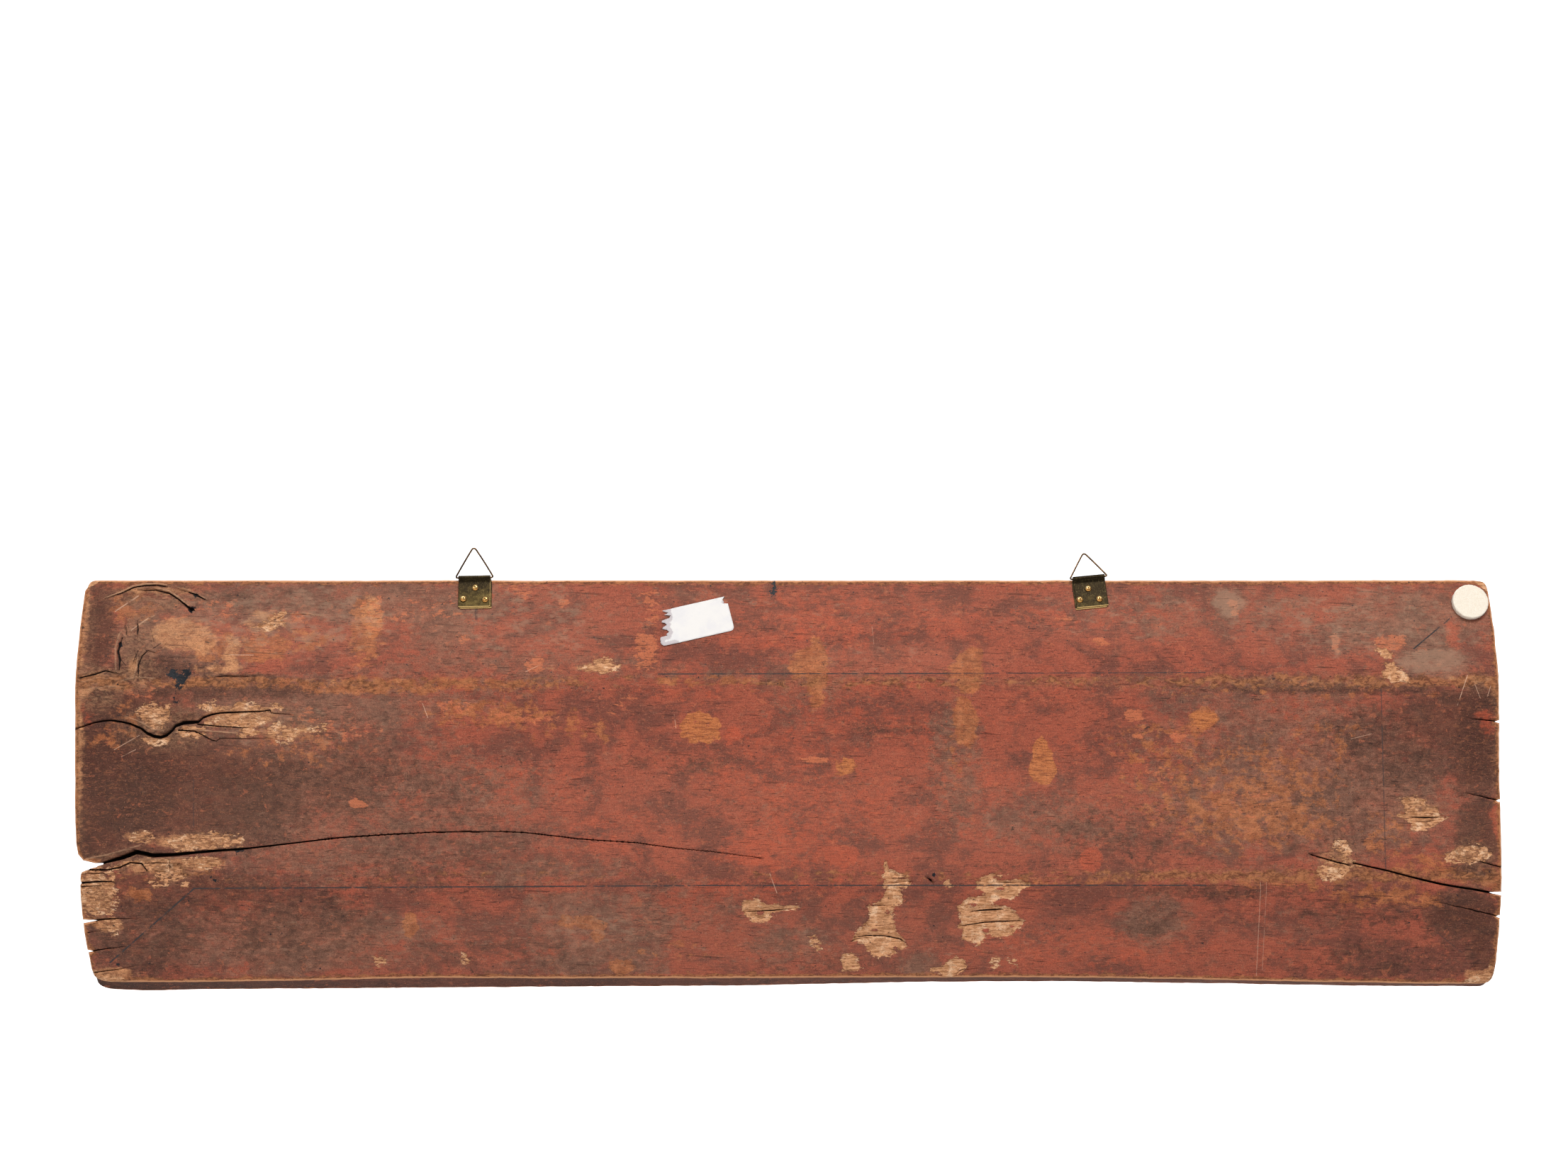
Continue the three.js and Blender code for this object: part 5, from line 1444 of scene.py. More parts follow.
def board_finish(board):
    """Old red wash over wood: darkened, stained, rubbed through at the arrises and flaked."""
    material, bench, shader, place = new_material("Old Red Wash")
    patch = group_of("Ragged Patch", ragged_patch_group)
    grain = bench.group(group_of("Wood Grain", wood_grain_group), Vector=place)
    tint = bench.tint

    def ragged(name, size, raggedness, edge, stretch=0.5):
        return bench.group(patch, Vector=place, Mask=bench.field(name), Size=size, Raggedness=raggedness,
                           Edge=edge, Stretch=stretch)["Patch"]

    def grained(under, name, low, high, over, strength=1.0):
        """Tints where one output of the grain goes from low to high."""
        return tint(under, bench.step(grain[name], low, high), over, strength)

    wash = grained(board.dark_wash, "Cloud", 0.42, 0.56, board.wash)
    wash = grained(wash, "Mottle", 0.52, 0.66, "faded red", 0.55)
    grimy = grained(board.grime, "Mottle", 0.38, 0.64, "pale grime")
    wash = tint(wash, ragged("grime", 110.0, 0.9, 0.22), grimy, 0.40)
    wash = tint(wash, ragged("grime", 260.0, 1.0, 0.06, 0.7), grimy, 0.42)
    # The dark field is stains on the back, and painted shade on the front's sunk ground and under the board:
    # it browns and blackens the wash and adds soot
    brown = grained("black stain and shade", "Mottle", 0.40, 0.62, "brown stain and shade")
    wash = tint(wash, ragged("dark", 130.0, 0.9, 0.26), brown, 0.56)
    wash = tint(wash, ragged("dark", 330.0, 1.0, 0.06, 0.7), brown, 0.56)
    uneven = bench.plus(bench.minus(grain["Mottle"], 0.5), bench.minus(grain["Fibre"], 0.5))
    soot_and_shade = bench.plus(bench.field("dark"), bench.times(uneven, 1.3))
    wash = tint(wash, bench.step(soot_and_shade, 0.72, 1.15), "soot_and_shade", 0.6)
    shreds = bench.grain(place, 0.6, 480.0, 6.0, 0.7, 0.8)
    flecks = bench.times(bench.step(shreds, 0.53, 0.62), bench.field("dark"), clamp=True)
    wash = tint(wash, bench.times(flecks, bench.field("back")), "red fleck", 0.34)
    wash = tint(wash, ragged("bright", 150.0, 0.9, 0.2), board.bright_wash, 0.30)
    wash = tint(wash, ragged("bright", 300.0, 1.0, 0.06, 0.7), board.bright_wash, 0.34)
    wash = grained(wash, "Crumbs", 0.60, 0.64, "red crumb", 0.42)
    ochre = grained("deep ochre", "Mottle", 0.40, 0.62, "light ochre")
    wash = tint(wash, ragged("ochre", 150.0, 0.9, 0.10, 0.8), ochre, 0.66)
    dabbed = grained("deep dab", "Fibre", 0.36, 0.64, "light dab")
    wash = tint(wash, ragged("dab", 260.0, 0.5, 0.06, 0.8), dabbed, 0.80)
    wash = tint(wash, ragged("pale", 330.0, 0.9, 0.05), "salmon", 0.66)
    bared = grained("deep tan", "Mottle", 0.38, 0.58, "light tan")
    wash = tint(wash, ragged("tan", 230.0, 0.8, 0.22, 0.6), bared, 0.78)
    torn = bench.field("torn")
    wash = tint(wash, torn, bench.mix(bench.step(shreds, 0.36, 0.64), "torn shadow", "torn fibre"), 0.62)

    wash = grained(wash, "Fibre", 0.50, 0.36, "dark fibre", 0.42)
    wash = grained(wash, "Fibre", 0.54, 0.72, "light fibre", 0.36)
    wash = grained(wash, "Speckle", 0.46, 0.34, "dark speck", 0.7)
    wash = grained(wash, "Speckle", 0.57, 0.72, "light speck", 0.48)
    wash = tint(wash, grain["Pores"], "pore", 0.6)
    wash = tint(wash, bench.times(grain["Checks"], bench.field("back")), "check", 0.5)
    wash = tint(wash, grain["Cracks"], "paint crack", 0.55)
    wash = grained(wash, "Crumbs", 0.335, 0.30, "dark crumb", 0.8)

    # Dust, and on the upper bevel painted light
    wash = tint(wash, bench.field("dust_and_light"), "warm dust and light", 0.26)
    wash = tint(wash, ragged("dust_and_light", 240.0, 0.9, 0.16), "grey dust and light", 0.36)
    rubbed = bench.mix(bench.step(shreds, 0.38, 0.62), "rubbed shadow", "rubbed wood")
    wash = tint(wash, ragged("rub", 260.0, 1.1, 0.16), rubbed, 0.74)
    arris = bench.plus(bench.field("rub"), bench.swing(grain["Mottle"], 1.6))
    wash = tint(wash, bench.step(arris, 1.0, 1.35), "bare arris", 0.85)

    raw = grained("raw shadow", "Fibre", 0.38, 0.60, board.raw_wood)
    raw = grained(raw, "Mottle", 0.51, 0.61, "raw light", 0.6)
    raw = grained(raw, "Mottle", 0.46, 0.36, "raw stain", 0.5)
    raw = grained(raw, "Speckle", 0.46, 0.32, "raw speck", 0.5)
    raw = tint(raw, grain["Pores"], "raw pore", 0.6)
    bare = ragged("bare", 800.0, 1.05, 0.035, 0.4)
    wash = tint(wash, bare, raw)
    end = bench.mix(bench.step(bench.noise(place, 900.0, 5.0, 0.7), 0.35, 0.65), "end shadow", "end light")
    wash = tint(wash, bench.field("end_grain"), end, 0.75)

    for entries, ink in ((DRAWN_LINES, "pencil"), (HAIR_CRACKS, "hair crack"), (SCRATCHES, "scratch")):
        marks = drawn_marks(bench, place, entries)
        wash = tint(wash, bench.times(marks, bench.field("back")), ink)
    strand = bench.times(bench.field("strand"), bench.step(grain["Fibre"], 0.36, 0.54))
    wash = tint(wash, strand, "strand", 0.8)
    tar = ragged("tar", 520.0, 1.5, 0.06, 0.9)
    wash = tint(wash, tar, "tar")
    # Painted shadow: the splits are painted near black by their depth
    wash = tint(wash, bench.step(bench.field("deep"), 0.35, 1.0), "split")
    bench.feed(shader.inputs["Base Color"], wash)

    gloss = bench.plus(0.70, bench.times(grain["Mottle"], 0.22))
    gloss = bench.minus(gloss, bench.times(tar, 0.5))
    gloss = bench.plus(gloss, bench.times(bare, 0.1), clamp=True)
    bench.feed(shader.inputs["Roughness"], gloss)
    shader.inputs["Specular IOR Level"].default_value = 0.16

    height = bench.times(grain["Fibre"], 0.7)
    height = bench.minus(height, bench.times(grain["Pores"], 0.7))
    height = bench.plus(height, bench.times(grain["Speckle"], 0.45))
    height = bench.plus(height, bench.times(grain["Mottle"], 0.5))
    height = bench.minus(height, bench.times(bare, 0.6))
    height = bench.plus(height, bench.times(bench.times(torn, shreds), 3.0))
    bench.bump(shader, height, 0.28 * MM, 1.0)
    return material


def drawn_marks(bench, place, entries):
    """A mask of many drawn lines, each with its ends, width and strength."""
    line = group_of("Drawn Line", drawn_line_group)
    marks = None
    for ax, az, bx, bz, width, strength in entries:
        drawn = bench.group(line, Vector=place, Start=(ax * MM, 0, az * MM), End=(bx * MM, 0, bz * MM),
                            Width=width * MM, Strength=strength)["Line"]
        marks = drawn if marks is None else bench.calc("MAXIMUM", marks, drawn)
    return marks


def metal_finish(bench, shader, shade, mark, metallic, polish, dulled):
    """Metal with its roughness at polish, and rougher by dulled where it is blotched."""
    bench.feed(shader.inputs["Base Color"], shade)
    shader.inputs["Metallic"].default_value = metallic
    bench.feed(shader.inputs["Roughness"], bench.plus(polish, bench.times(mark["Blotch"], dulled)))


def strap_finish(hanger):
    material, bench, shader, place = new_material("Dulled Brass Strap")
    mark = tarnished(bench, place, 260.0)
    # Painted reflection: the strap darkens towards its fold, broken by tarnish blotches
    dark_reflection = bench.plus(bench.field("dark_reflection"), bench.swing(mark["Blotch"], 1.6))
    shade = bench.mix(bench.step(dark_reflection, 0.1, 0.9), hanger.strap_colour, "dark reflected brass")
    shade = bench.tint(shade, bench.step(mark["Grit"], 0.56, 0.74), "brass grit", 0.45)
    shade = bench.tint(shade, mark["Scratch"], "brass scratch", 0.2)
    shade = bench.tint(shade, bench.step(bench.field("worn"), 0.3, 0.9), "worn brass")
    metal_finish(bench, shader, shade, mark, 0.9, 0.34, 0.28)
    bench.bump(shader, bench.plus(mark["Grit"], bench.times(mark["Blotch"], 1.5)), 0.05 * MM, 0.6)
    return material


def screw_finish(hanger):
    material, bench, shader, place = new_material("Bright Brass Screw")
    mark = tarnished(bench, place, 700.0)
    shade = bench.mix(bench.step(mark["Blotch"], 0.3, 0.62), "dull screw", hanger.screw_colour)
    # Painted reflection: amber on the lower side of each dome stands in for the red board reflected in it
    shade = bench.tint(shade, bench.field("reflected_amber"), "reflected_amber", 0.8)
    # Painted shade: the cross slot's recess is painted dark
    shade = bench.tint(shade, bench.step(bench.field("recess"), 0.25, 0.9), "slot shade")
    metal_finish(bench, shader, shade, mark, 1.0, 0.16, 0.2)
    bench.bump(shader, mark["Grit"], 0.03 * MM, 0.5)
    return material


def wire_finish():
    material, bench, shader, place = new_material("Tarnished Wire")
    mark = tarnished(bench, place, 420.0)
    shade = bench.mix(bench.step(mark["Blotch"], 0.34, 0.64), "dark wire", "light wire")
    metal_finish(bench, shader, shade, mark, 1.0, 0.2, 0.3)
    bench.bump(shader, mark["Grit"], 0.03 * MM, 0.5)
    return material


def felt_finish(small):
    material, bench, shader, place = new_material("Pressed Felt")
    tangle = bench.noise(place, 1400.0, 6.0, 0.75, 1.2)
    lumps = bench.noise(place, 260.0, 3.0, 0.6)
    shade = bench.mix(bench.step(tangle, 0.3, 0.7), "felt shadow", small.felt_colour)
    # Painted shade on the side wall towards the board
    shade = bench.tint(shade, bench.step(bench.field("side_shade"), 0.3, 1.0), "felt side shade", 0.5)
    bench.feed(shader.inputs["Base Color"], shade)
    shader.inputs["Roughness"].default_value = 0.95
    shader.inputs["Sheen Weight"].default_value = 0.35
    shader.inputs["Sheen Roughness"].default_value = 0.6
    bench.bump(shader, bench.plus(tangle, bench.times(lumps, 0.6)), 0.25 * MM, 0.9)
    return material


def paper_finish(small):
    material, bench, shader, place = new_material("Torn Paper")
    fibres = bench.noise(place, 1200.0, 5.0, 0.7)
    cloud = bench.noise(place, 120.0, 3.0, 0.6)
    shade = bench.mix(bench.step(cloud, 0.4, 0.7), small.paper_colour, "paper cloud")
    # Painted shade: grey along the torn edges
    torn = bench.step(bench.plus(bench.field("tear_and_shade"), bench.swing(fibres, 0.7)), 0.4, 0.7)
    shade = bench.tint(shade, torn, "paper tear shade", 0.85)
    bench.feed(shader.inputs["Base Color"], shade)
    shader.inputs["Roughness"].default_value = 0.78
    bench.bump(shader, bench.plus(fibres, bench.times(torn, 0.8)), 0.06 * MM, 0.7)
    return material


# Hangers

def bevel_frame(x, down, turn):
    """From a place on the upper bevel (x along it, z up it, -y out of it) in millimetres to metres."""
    return (Matrix.Scale(MM, 4)
            @ Matrix.Translation((x, BEVEL_DROP, TOP_EDGE))
            @ Matrix.Rotation(-TOP_BEVEL_ANGLE, 4, "X")
            @ Matrix.Translation((0, 0, -down))
            @ Matrix.Rotation(-math.radians(turn), 4, "Y"))


def moved(matrix, places):
    return [tuple(matrix @ Vector(p)) for p in places]


def strap_path():
    """The middle of the folded sheet from its outer bottom edge, over the wire, to its inner bottom edge."""
    y0, z0 = BARREL
    reach = 1.06
    path = [(-1.03, z) for z in np.linspace(-17.1, -2.6, 16)]
    path += [(-1.10, -1.9), (-1.36, -1.2), (-1.82, -0.55), (-2.28, 0.0)]
    path += [(y0 - reach * math.cos(a), z0 + reach * math.sin(a)) for a in np.radians(np.arange(0, 181, 18))]
    path += [(-0.37, -0.2), (-0.38, -1.2)]
    path += [(-0.38, z) for z in np.linspace(-2.6, -17.8, 14)]
    return path


def band(first, second, count):
    """Faces between two closed rows of points, each row given by the number of its first point."""
    return [(first + k, first + (k + 1) % count, second + (k + 1) % count, second + k) for k in range(count)]


def angles(count):
    return [2 * math.pi * k / count for k in range(count)]


def strap_mesh(side, hanger):
    """Both layers of the folded strap as one thick, slightly dented sheet."""
    path = np.array(strap_path())
    half, thick = 9.1, hanger.sheet / MM / 2
    soft, outer_steps, bright_steps = 0.9, 14, 18
    stations = [-half, -half + 0.3, *np.linspace(-half + 1.1, half - 1.1, 15), half - 0.3, half]
    columns, steps = len(stations), len(path)
    along = np.gradient(path, axis=0)
    along /= np.linalg.norm(along, axis=1)[:, None]
    out = np.column_stack([-along[:, 1], along[:, 0]])
    slip = HANGERS[side]["slip"]
    dent_seed = 131 if slip > 0 else 137
    places, worn, dark_reflection = [], [], []
    for face in (1, -1):
        for i in range(steps):
            at_end = i in (0, steps - 1)
            shift = slip * ease(0.62, 0.74, i / (steps - 1))
            for k, x in enumerate(stations):
                corner = max(0.0, abs(x) - (half - soft)) / soft
                dent = 0.035 * float(ripple(x + 50, path[i, 1], 4, 4, dent_seed)) if i < outer_steps else 0.0
                y, z = path[i] + out[i] * (thick * face)
                z += 0.35 * corner ** 2 if at_end else 0.0
                places.append((x + shift, y - dent, z))
                bright_side = k == columns - 1 and side == "left" and i < bright_steps
                worn.append(1.0 if at_end or bright_side else 0.25 if k in (0, columns - 1) else 0.0)
                # Darker towards the fold: a painted reflection of the dark room in the sheet, from each
                # strap's own level
                dark_reflection.append(HANGERS[side]["dark_reflection"] + 0.5 * float(ease(-17, -2, z)))
    faces = []
    layer = steps * columns
    for i in range(steps - 1):
        for k in range(columns - 1):
            a, b = i * columns + k, i * columns + k + 1
            c, d = b + columns, a + columns
            faces += [(a, b, c, d), (layer + d, layer + c, layer + b, layer + a)]
    for i in range(steps - 1):
        for k in (0, columns - 1):
            a, d = i * columns + k, (i + 1) * columns + k
            faces.append((a, d, layer + d, layer + a))
    for i in (0, steps - 1):
        for k in range(columns - 1):
            a, b = i * columns + k, i * columns + k + 1
            faces.append((a, b, layer + b, layer + a))
    return places, faces, worn, dark_reflection


def screw_mesh(turn):
    """A round head with a cross cut in it, on a short plain shank."""
    rings, spokes = 18, 56
    radius, tall, cross_depth = 1.92, 1.32, 0.50
    arm_width, arm_length = (0.22, 0.10), (0.66, 0.40)  # half sizes at the cut's top edge and at its floor
    shank = ((1.84, 0.0), (0.8, 0.02), (0.78, 2.6))
    places, recess, reflected_amber = [], [], []
    turn = math.radians(turn)
    for i in range(1, rings + 1):
        r = radius * math.sin(math.pi / 2 * i / rings)
        top = tall * math.sqrt(max(0.0, 1 - (r / radius) ** 2 * 0.93))
        for angle in angles(spokes):
            u, v = r * math.cos(angle), r * math.sin(angle)
            cu = abs(u * math.cos(turn) + v * math.sin(turn))
            cv = abs(v * math.cos(turn) - u * math.sin(turn))
            cross = max(float(ease(*arm_width, a) * ease(*arm_length, b)) for a, b in ((cu, cv), (cv, cu)))
            places.append((u, cross_depth * cross - top, v))
            # The recess mask marks the cross cut, which the finish paints dark as shade
            recess.append(cross)
            # The dome's lower side is painted amber, a painted reflection of the red board in the brass; the
            # shank takes half of it
            reflected_amber.append(float(ease(0.1, -1.3, v)))
    tip = len(places)
    places.append((0, 0.60 - tall, 0))
    recess.append(1.0)
    reflected_amber.append(0.0)
    faces = [(tip, (k + 1) % spokes, k) for k in range(spokes)]
    for i in range(rings - 1):
        faces += band(i * spokes, (i + 1) * spokes, spokes)
    last = (rings - 1) * spokes
    for r, y in shank:
        start = len(places)
        places += [(r * math.cos(angle), y, r * math.sin(angle)) for angle in angles(spokes)]
        recess += [0.0] * spokes
        reflected_amber += [0.5] * spokes
        faces += band(last, start, spokes)
        last = start
    faces.append(tuple(range(last, last + spokes)))
    return places, faces, recess, reflected_amber


def ring_mesh(hanger, bow):
    """A triangle of wire with soft corners, its ends inside the strap's barrel."""
    half, tall, end_gap = 10.9, 17.9, 0.6
    corners = [(-half, 0.0), (0.0, tall), (half, 0.0)]
    start, end = (-end_gap, 0.0), (end_gap, 0.0)
    path = [start]
    for before, corner, after, soft in zip([start, *corners], corners, [*corners[1:], end], (1.6, 2.6, 1.6)):
        limits = []
        for other in (before, after):
            reach = math.dist(corner, other)
            limits.append(tuple(c + (o - c) * soft / reach for c, o in zip(corner, other)))
        path += bend(limits[0], corner, limits[1], 9)
    path.append(end)
    path = np.array(evenly(path, 1.2))
    along = np.gradient(path, axis=0)
    along /= np.linalg.norm(along, axis=1)[:, None]
    sides, radius = 14, hanger.wire / MM
    places, faces = [], []
    for (x, z), (ax, az) in zip(path, along):
        lean = bow * math.sin(math.pi * min(1, max(0, z / tall))) * (1 if x > 0 else -0.6)
        for angle in angles(sides):
            out = radius * math.cos(angle)
            places.append((x - az * out + lean, radius * math.sin(angle), z + ax * out))
    last = (len(path) - 1) * sides
    for row in range(0, last, sides):
        faces += band(row, row + sides, sides)
    faces += [tuple(range(sides)), tuple(range(last, last + sides))]
    return places, faces


# Felt bumper and paper

def felt_mesh():
    """A pressed disc with a soft edge and a slightly furry outline, as rings of points."""
    radius, thick, spokes = 10.1, 3.3, 120
    profile = [(r, -thick) for r in np.linspace(0.6, radius - 0.7, 13)]
    profile += [(radius - 0.35, -thick + 0.08), (radius - 0.1, -thick + 0.3), (radius, -thick + 0.7)]
    profile += [(radius, y) for y in np.linspace(-thick + 1.1, -0.35, 6)]
    profile += [(radius - 0.1, -0.1), (radius - 0.4, -0.06)]
    places, side_shade = [(0, -thick, 0)], [0.0]
    for r, y in profile:
        for k, angle in enumerate(angles(spokes)):
            fur = 0.16 * float(ripple(k, y * 5 + 90, 1.4, 1.5, 151))
            fur = fur * float(ease(radius - 2, radius, r))
            uneven = 0.10 * float(ripple(r * math.cos(angle) + 40, r * math.sin(angle) + 40, 1.6, 1.6, 153))
            lump = uneven * float(ease(-thick + 0.5, -thick, y))
            places.append(((r + fur) * math.cos(angle), y + lump, (r + fur) * math.sin(angle)))
            # The side wall darkens towards the board: painted shade where the felt meets the board
            side_shade.append(float(ease(-thick + 1.0, 0.0, y)))
    faces = [(0, 1 + (k + 1) % spokes, 1 + k) for k in range(spokes)]
    last = 1 + (len(profile) - 1) * spokes
    for row in range(1, last, spokes):
        faces += band(row, row + spokes, spokes)
    faces.append(tuple(range(last, last + spokes)))
    return places, faces, side_shade


def paper_outline():
    """The torn paper, clockwise from its top left: (x, z) in its own plane."""
    half, low = 21.2, -10.6
    path = [(-16.4, 10.5), (-4.0, 10.6), *PAPER_RIGHT]
    path += bend((half, -7.8), (half, low), (18.6, low), 6)
    path += bend((-18.8, low), (-half, low), (-half, -8.0), 6)
    path += PAPER_TEAR[::-1]
    return np.array(evenly(path, 0.7)[:-1])


def paper_mesh():
    """The paper as a thin closed sheet, lifted at its torn left side, and a mask of the torn places, thinned
    and painted grey as shade along the edge.
    """
    rng = np.random.default_rng(5)
    loop = paper_outline()
    jag = 0.28 * ripple(np.arange(len(loop)), np.zeros(len(loop)), 1.2, 5, 161)
    loop[:, 0] += np.where(loop[:, 0] < -11.5, jag, jag * 0.12)

    def to_edge(x, z):
        return np.min(np.hypot(x[:, None] - loop[None, :, 0], z[:, None] - loop[None, :, 1]), axis=1)

    inner = honeycomb(1.1, (-21, -10.6), (21, 10.6), rng)
    flat, front, rim = fill_loop(loop, inner[(to_edge(*inner.T) > 0.45) & inside_loop(inner, loop)])
    x, z = flat.T
    near = to_edge(x, z)
    lift = 0.10 + 0.05 * rough(x, z, 9, 6, 163) + 0.25 * ease(-11, -19, x) * ease(2.5, 0, near)
    lift = lift + 0.12 * ease(2.0, 0, near)
    # The torn places are thinner and painted grey: painted shade along the lifted, torn edge
    tear_and_shade = ease(4.6, 0.2, near) * ease(-9, -13, x)
    tear_and_shade = np.maximum(tear_and_shade, ease(2.6, 0.2, np.hypot(x - 19, z - 7.6)))
    thick = 0.18 - 0.10 * tear_and_shade
    total = len(flat)
    places = np.vstack([np.column_stack([x, -lift - thick, z]), np.column_stack([x, -lift, z])])
    faces = front + [tuple(reversed([total + i for i in face])) for face in front]
    for a, b in zip(rim, rim[1:] + rim[:1]):
        faces.append((b, a, total + a, total + b))
    return places, faces, np.concatenate([tear_and_shade, tear_and_shade])


# Operators, one for each piece or group of like pieces

class PANEL_OT_build_board(bpy.types.Operator):
    """Build the carved board with its splits, flakes, worn arrises and red wash"""
    bl_idname = "wall_panel.build_board"
    bl_label = "Board"

    def execute(self, context):
        board = context.scene.panel_board
        places, faces, fields = board_mesh(board)
        made = put_mesh("carved_board", places * MM, faces, board_finish(board))
        for name, values in fields.items():
            add_field(made.data, name, values)
        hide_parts("relief_board")
        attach(made, "panel")
        return {"FINISHED"}


class PANEL_OT_build_hangers(bpy.types.Operator):
    """Build both folded brass straps"""
    bl_idname = "wall_panel.build_hangers"
    bl_label = "Hanger Straps"

    def execute(self, context):
        hanger = context.scene.panel_hanger
        finish = strap_finish(hanger)
        for side, facts in HANGERS.items():
            places, faces, worn, dark_reflection = strap_mesh(side, hanger)
            base = bevel_frame(facts["x"], 0, facts["turn"])
            made = put_mesh(f"{side}_strap", moved(base, places), faces, finish)
            add_field(made.data, "worn", worn)
            add_field(made.data, "dark_reflection", dark_reflection)
            edge = made.modifiers.new("soft edges", "BEVEL")
            edge.width = 0.1 * MM
            edge.segments = 2
            edge.limit_method = "ANGLE"
            edge.angle_limit = math.radians(50)
            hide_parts(f"{side}_hanger_strap")
            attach(made, "panel")
        return {"FINISHED"}


class PANEL_OT_build_screws(bpy.types.Operator):
    """Build the six round-headed brass screws"""
    bl_idname = "wall_panel.build_screws"
    bl_label = "Screws"

    def execute(self, context):
        finish = screw_finish(context.scene.panel_hanger)
        for side, facts in HANGERS.items():
            base = bevel_frame(facts["x"], 0, facts["turn"])
            for name, (x, z, tilt, turn) in facts["screws"].items():
                seat = 2 * SHEET + 0.12 + 1.8 * math.sin(math.radians(tilt))
                local = base @ Matrix.Translation((x, -seat, z)) @ Matrix.Rotation(math.radians(tilt), 4, "Z")
                places, faces, recess, reflected_amber = screw_mesh(turn)
                made = put_mesh(f"{side}_{name}_round_screw", moved(local, places), faces, finish)
                add_field(made.data, "recess", recess)
                add_field(made.data, "reflected_amber", reflected_amber)
                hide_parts(f"{side}_{name}_screw")
                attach(made, "panel")
        return {"FINISHED"}


class PANEL_OT_build_rings(bpy.types.Operator):
    """Build the two loose wire rings"""
    bl_idname = "wall_panel.build_rings"
    bl_label = "Hanging Rings"

    def execute(self, context):
        hanger = context.scene.panel_hanger
        finish = wire_finish()
        for side, facts in HANGERS.items():
            places, faces = ring_mesh(hanger, facts["bow"])
            local = (bevel_frame(facts["x"], 0, facts["turn"])
                     @ Matrix.Translation((0, BARREL[0], BARREL[1]))
                     @ Matrix.Rotation(TOP_BEVEL_ANGLE + math.radians(facts["lean"]), 4, "X"))
            made = put_mesh(f"{side}_wire_ring", moved(local, places), faces, finish)
            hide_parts(f"{side}_hanging_ring")
            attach(made, f"{side}_ring")
        return {"FINISHED"}


class PANEL_OT_build_felt(bpy.types.Operator):
    """Build the round felt bumper at the top right corner"""
    bl_idname = "wall_panel.build_felt"
    bl_label = "Felt Bumper"

    def execute(self, context):
        small = context.scene.panel_small
        places, faces, side_shade = felt_mesh()
        places = moved(bevel_frame(*FELT_PLACE, 0), places)
        made = put_mesh("felt_bumper", places, faces, felt_finish(small))
        add_field(made.data, "side_shade", side_shade)
        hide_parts("felt_pad")
        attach(made, "panel")
        return {"FINISHED"}


class PANEL_OT_build_paper(bpy.types.Operator):
    """Build the torn paper on the upper bevel"""
    bl_idname = "wall_panel.build_paper"
    bl_label = "Torn Paper"

    def execute(self, context):
        small = context.scene.panel_small
        places, faces, tear_and_shade = paper_mesh()
        places = moved(bevel_frame(*PAPER_PLACE), places.tolist())
        made = put_mesh("torn_label", places, faces, paper_finish(small))
        add_field(made.data, "tear_and_shade", tear_and_shade)
        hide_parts("torn_paper")
        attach(made, "panel")
        return {"FINISHED"}


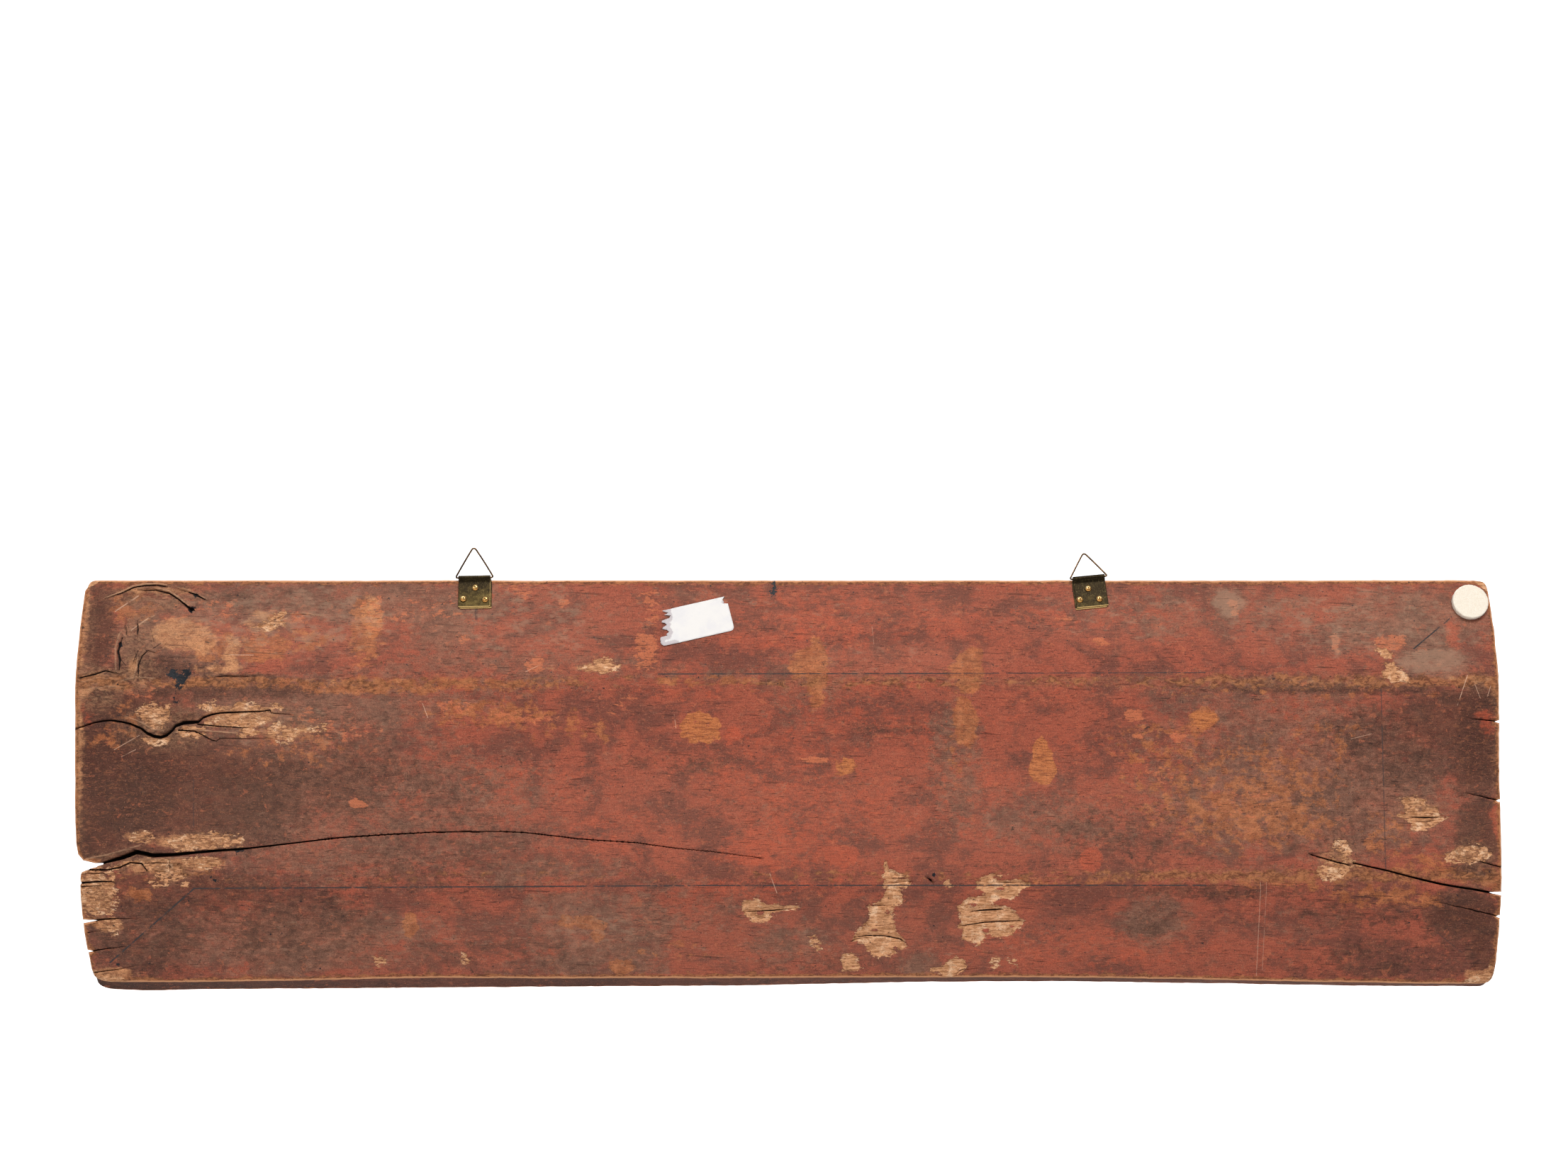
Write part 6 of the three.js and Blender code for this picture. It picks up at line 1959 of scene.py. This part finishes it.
class PANEL_OT_set_stage(bpy.types.Operator):
    """Set the pale studio, its soft lights and the camera square to the panel's back"""
    bl_idname = "wall_panel.set_stage"
    bl_label = "Stage"

    def execute(self, context):
        stage = context.scene.panel_stage
        scene = context.scene
        scene.view_settings.view_transform = "Standard"
        floor_z, sweep_y, radius, wall_top = -0.9, 2.9, 1.5, 6.0
        turns = np.radians(np.arange(9, 91, 9))
        floor = [(-6.0, floor_z), (sweep_y, floor_z)]
        sweep = [(sweep_y, floor_z)]
        sweep += [(sweep_y + radius * math.sin(a), floor_z + radius - radius * math.cos(a)) for a in turns]
        sweep += [(sweep_y + radius, wall_top)]
        for name, path, glow in (("studio_floor", floor, 0.0), ("studio_backdrop", sweep, stage.paper_white)):
            material, _, shader, _ = new_material(name.replace("_", " ").title())
            shader.inputs["Base Color"].default_value = (0.75, 0.75, 0.75, 1)
            shader.inputs["Roughness"].default_value = 0.9
            shader.inputs["Emission Color"].default_value = (1, 1, 1, 1)
            shader.inputs["Emission Strength"].default_value = glow
            places = [(x, y, z) for y, z in path for x in (-9.0, 9.0)]
            faces = [(2 * i, 2 * i + 1, 2 * i + 3, 2 * i + 2) for i in range(len(path) - 1)]
            put_mesh(name, places, faces, material)

        world = bpy.data.worlds.new("Soft Studio")
        world.use_nodes = True
        back = world.node_tree.nodes["Background"]
        back.inputs["Color"].default_value = (1, 1, 1, 1)
        back.inputs["Strength"].default_value = 0.27
        scene.world = world
        lamps = [
            ("key_light", (0.15, -1.80, 1.92), (1.9, 0.9), stage.key_power),
            ("fill_light", (-1.2, -2.2, 0.4), (1.2, 1.4), stage.fill_power),
            ("front_light", (-0.9, 1.5, 1.9), (0.9, 0.7), stage.key_power * 0.8),
        ]
        for name, place, size, power in lamps:
            data = bpy.data.lights.new(name, "AREA")
            data.shape = "RECTANGLE"
            data.size, data.size_y = size
            data.energy = power
            lamp = bpy.data.objects.new(name, data)
            lamp.location = place
            lamp.rotation_euler = (-Vector(place)).to_track_quat("-Z", "Y").to_euler()
            scene.collection.objects.link(lamp)

        lens = bpy.data.cameras.new("panel_camera")
        lens.lens = 50
        lens.sensor_width = 36
        lens.shift_y = 0.1234
        lens.clip_end = 100
        camera = bpy.data.objects.new("panel_camera", lens)
        camera.location = (-0.002, -stage.camera_distance, 0.0)
        camera.rotation_euler = (math.pi / 2, 0, 0)
        scene.collection.objects.link(camera)
        scene.camera = camera
        return {"FINISHED"}


class PANEL_PT_sidebar(bpy.types.Panel):
    bl_label = "Wall Panel"
    bl_idname = "PANEL_PT_sidebar"
    bl_space_type = "VIEW_3D"
    bl_region_type = "UI"
    bl_category = "Wall Panel"

    def draw(self, context):
        layout = self.layout
        scene = context.scene
        for operator, settings in SECTIONS:
            box = layout.box()
            box.operator(operator.bl_idname)
            group = getattr(scene, settings)
            for name in group.bl_rna.properties.keys():
                if name not in ("rna_type", "name"):
                    box.prop(group, name)


SETTINGS = {
    "panel_board": BoardSettings,
    "panel_hanger": HangerSettings,
    "panel_small": SmallPiecesSettings,
    "panel_stage": StageSettings,
}
SECTIONS = [
    (PANEL_OT_set_stage, "panel_stage"),
    (PANEL_OT_build_board, "panel_board"),
    (PANEL_OT_build_hangers, "panel_hanger"),
    (PANEL_OT_build_screws, "panel_hanger"),
    (PANEL_OT_build_rings, "panel_hanger"),
    (PANEL_OT_build_felt, "panel_small"),
    (PANEL_OT_build_paper, "panel_small"),
]
CLASSES = [*SETTINGS.values(), *(operator for operator, _ in SECTIONS), PANEL_PT_sidebar]


def register():
    for item in CLASSES:
        bpy.utils.register_class(item)
    for name, group in SETTINGS.items():
        setattr(bpy.types.Scene, name, PointerProperty(type=group))


def unregister():
    for name in SETTINGS:
        delattr(bpy.types.Scene, name)
    for item in reversed(CLASSES):
        bpy.utils.unregister_class(item)


def main():
    register()
    for operator, _ in SECTIONS:
        module, name = operator.bl_idname.split(".")
        getattr(getattr(bpy.ops, module), name)()


if __name__ == "__main__":
    main()
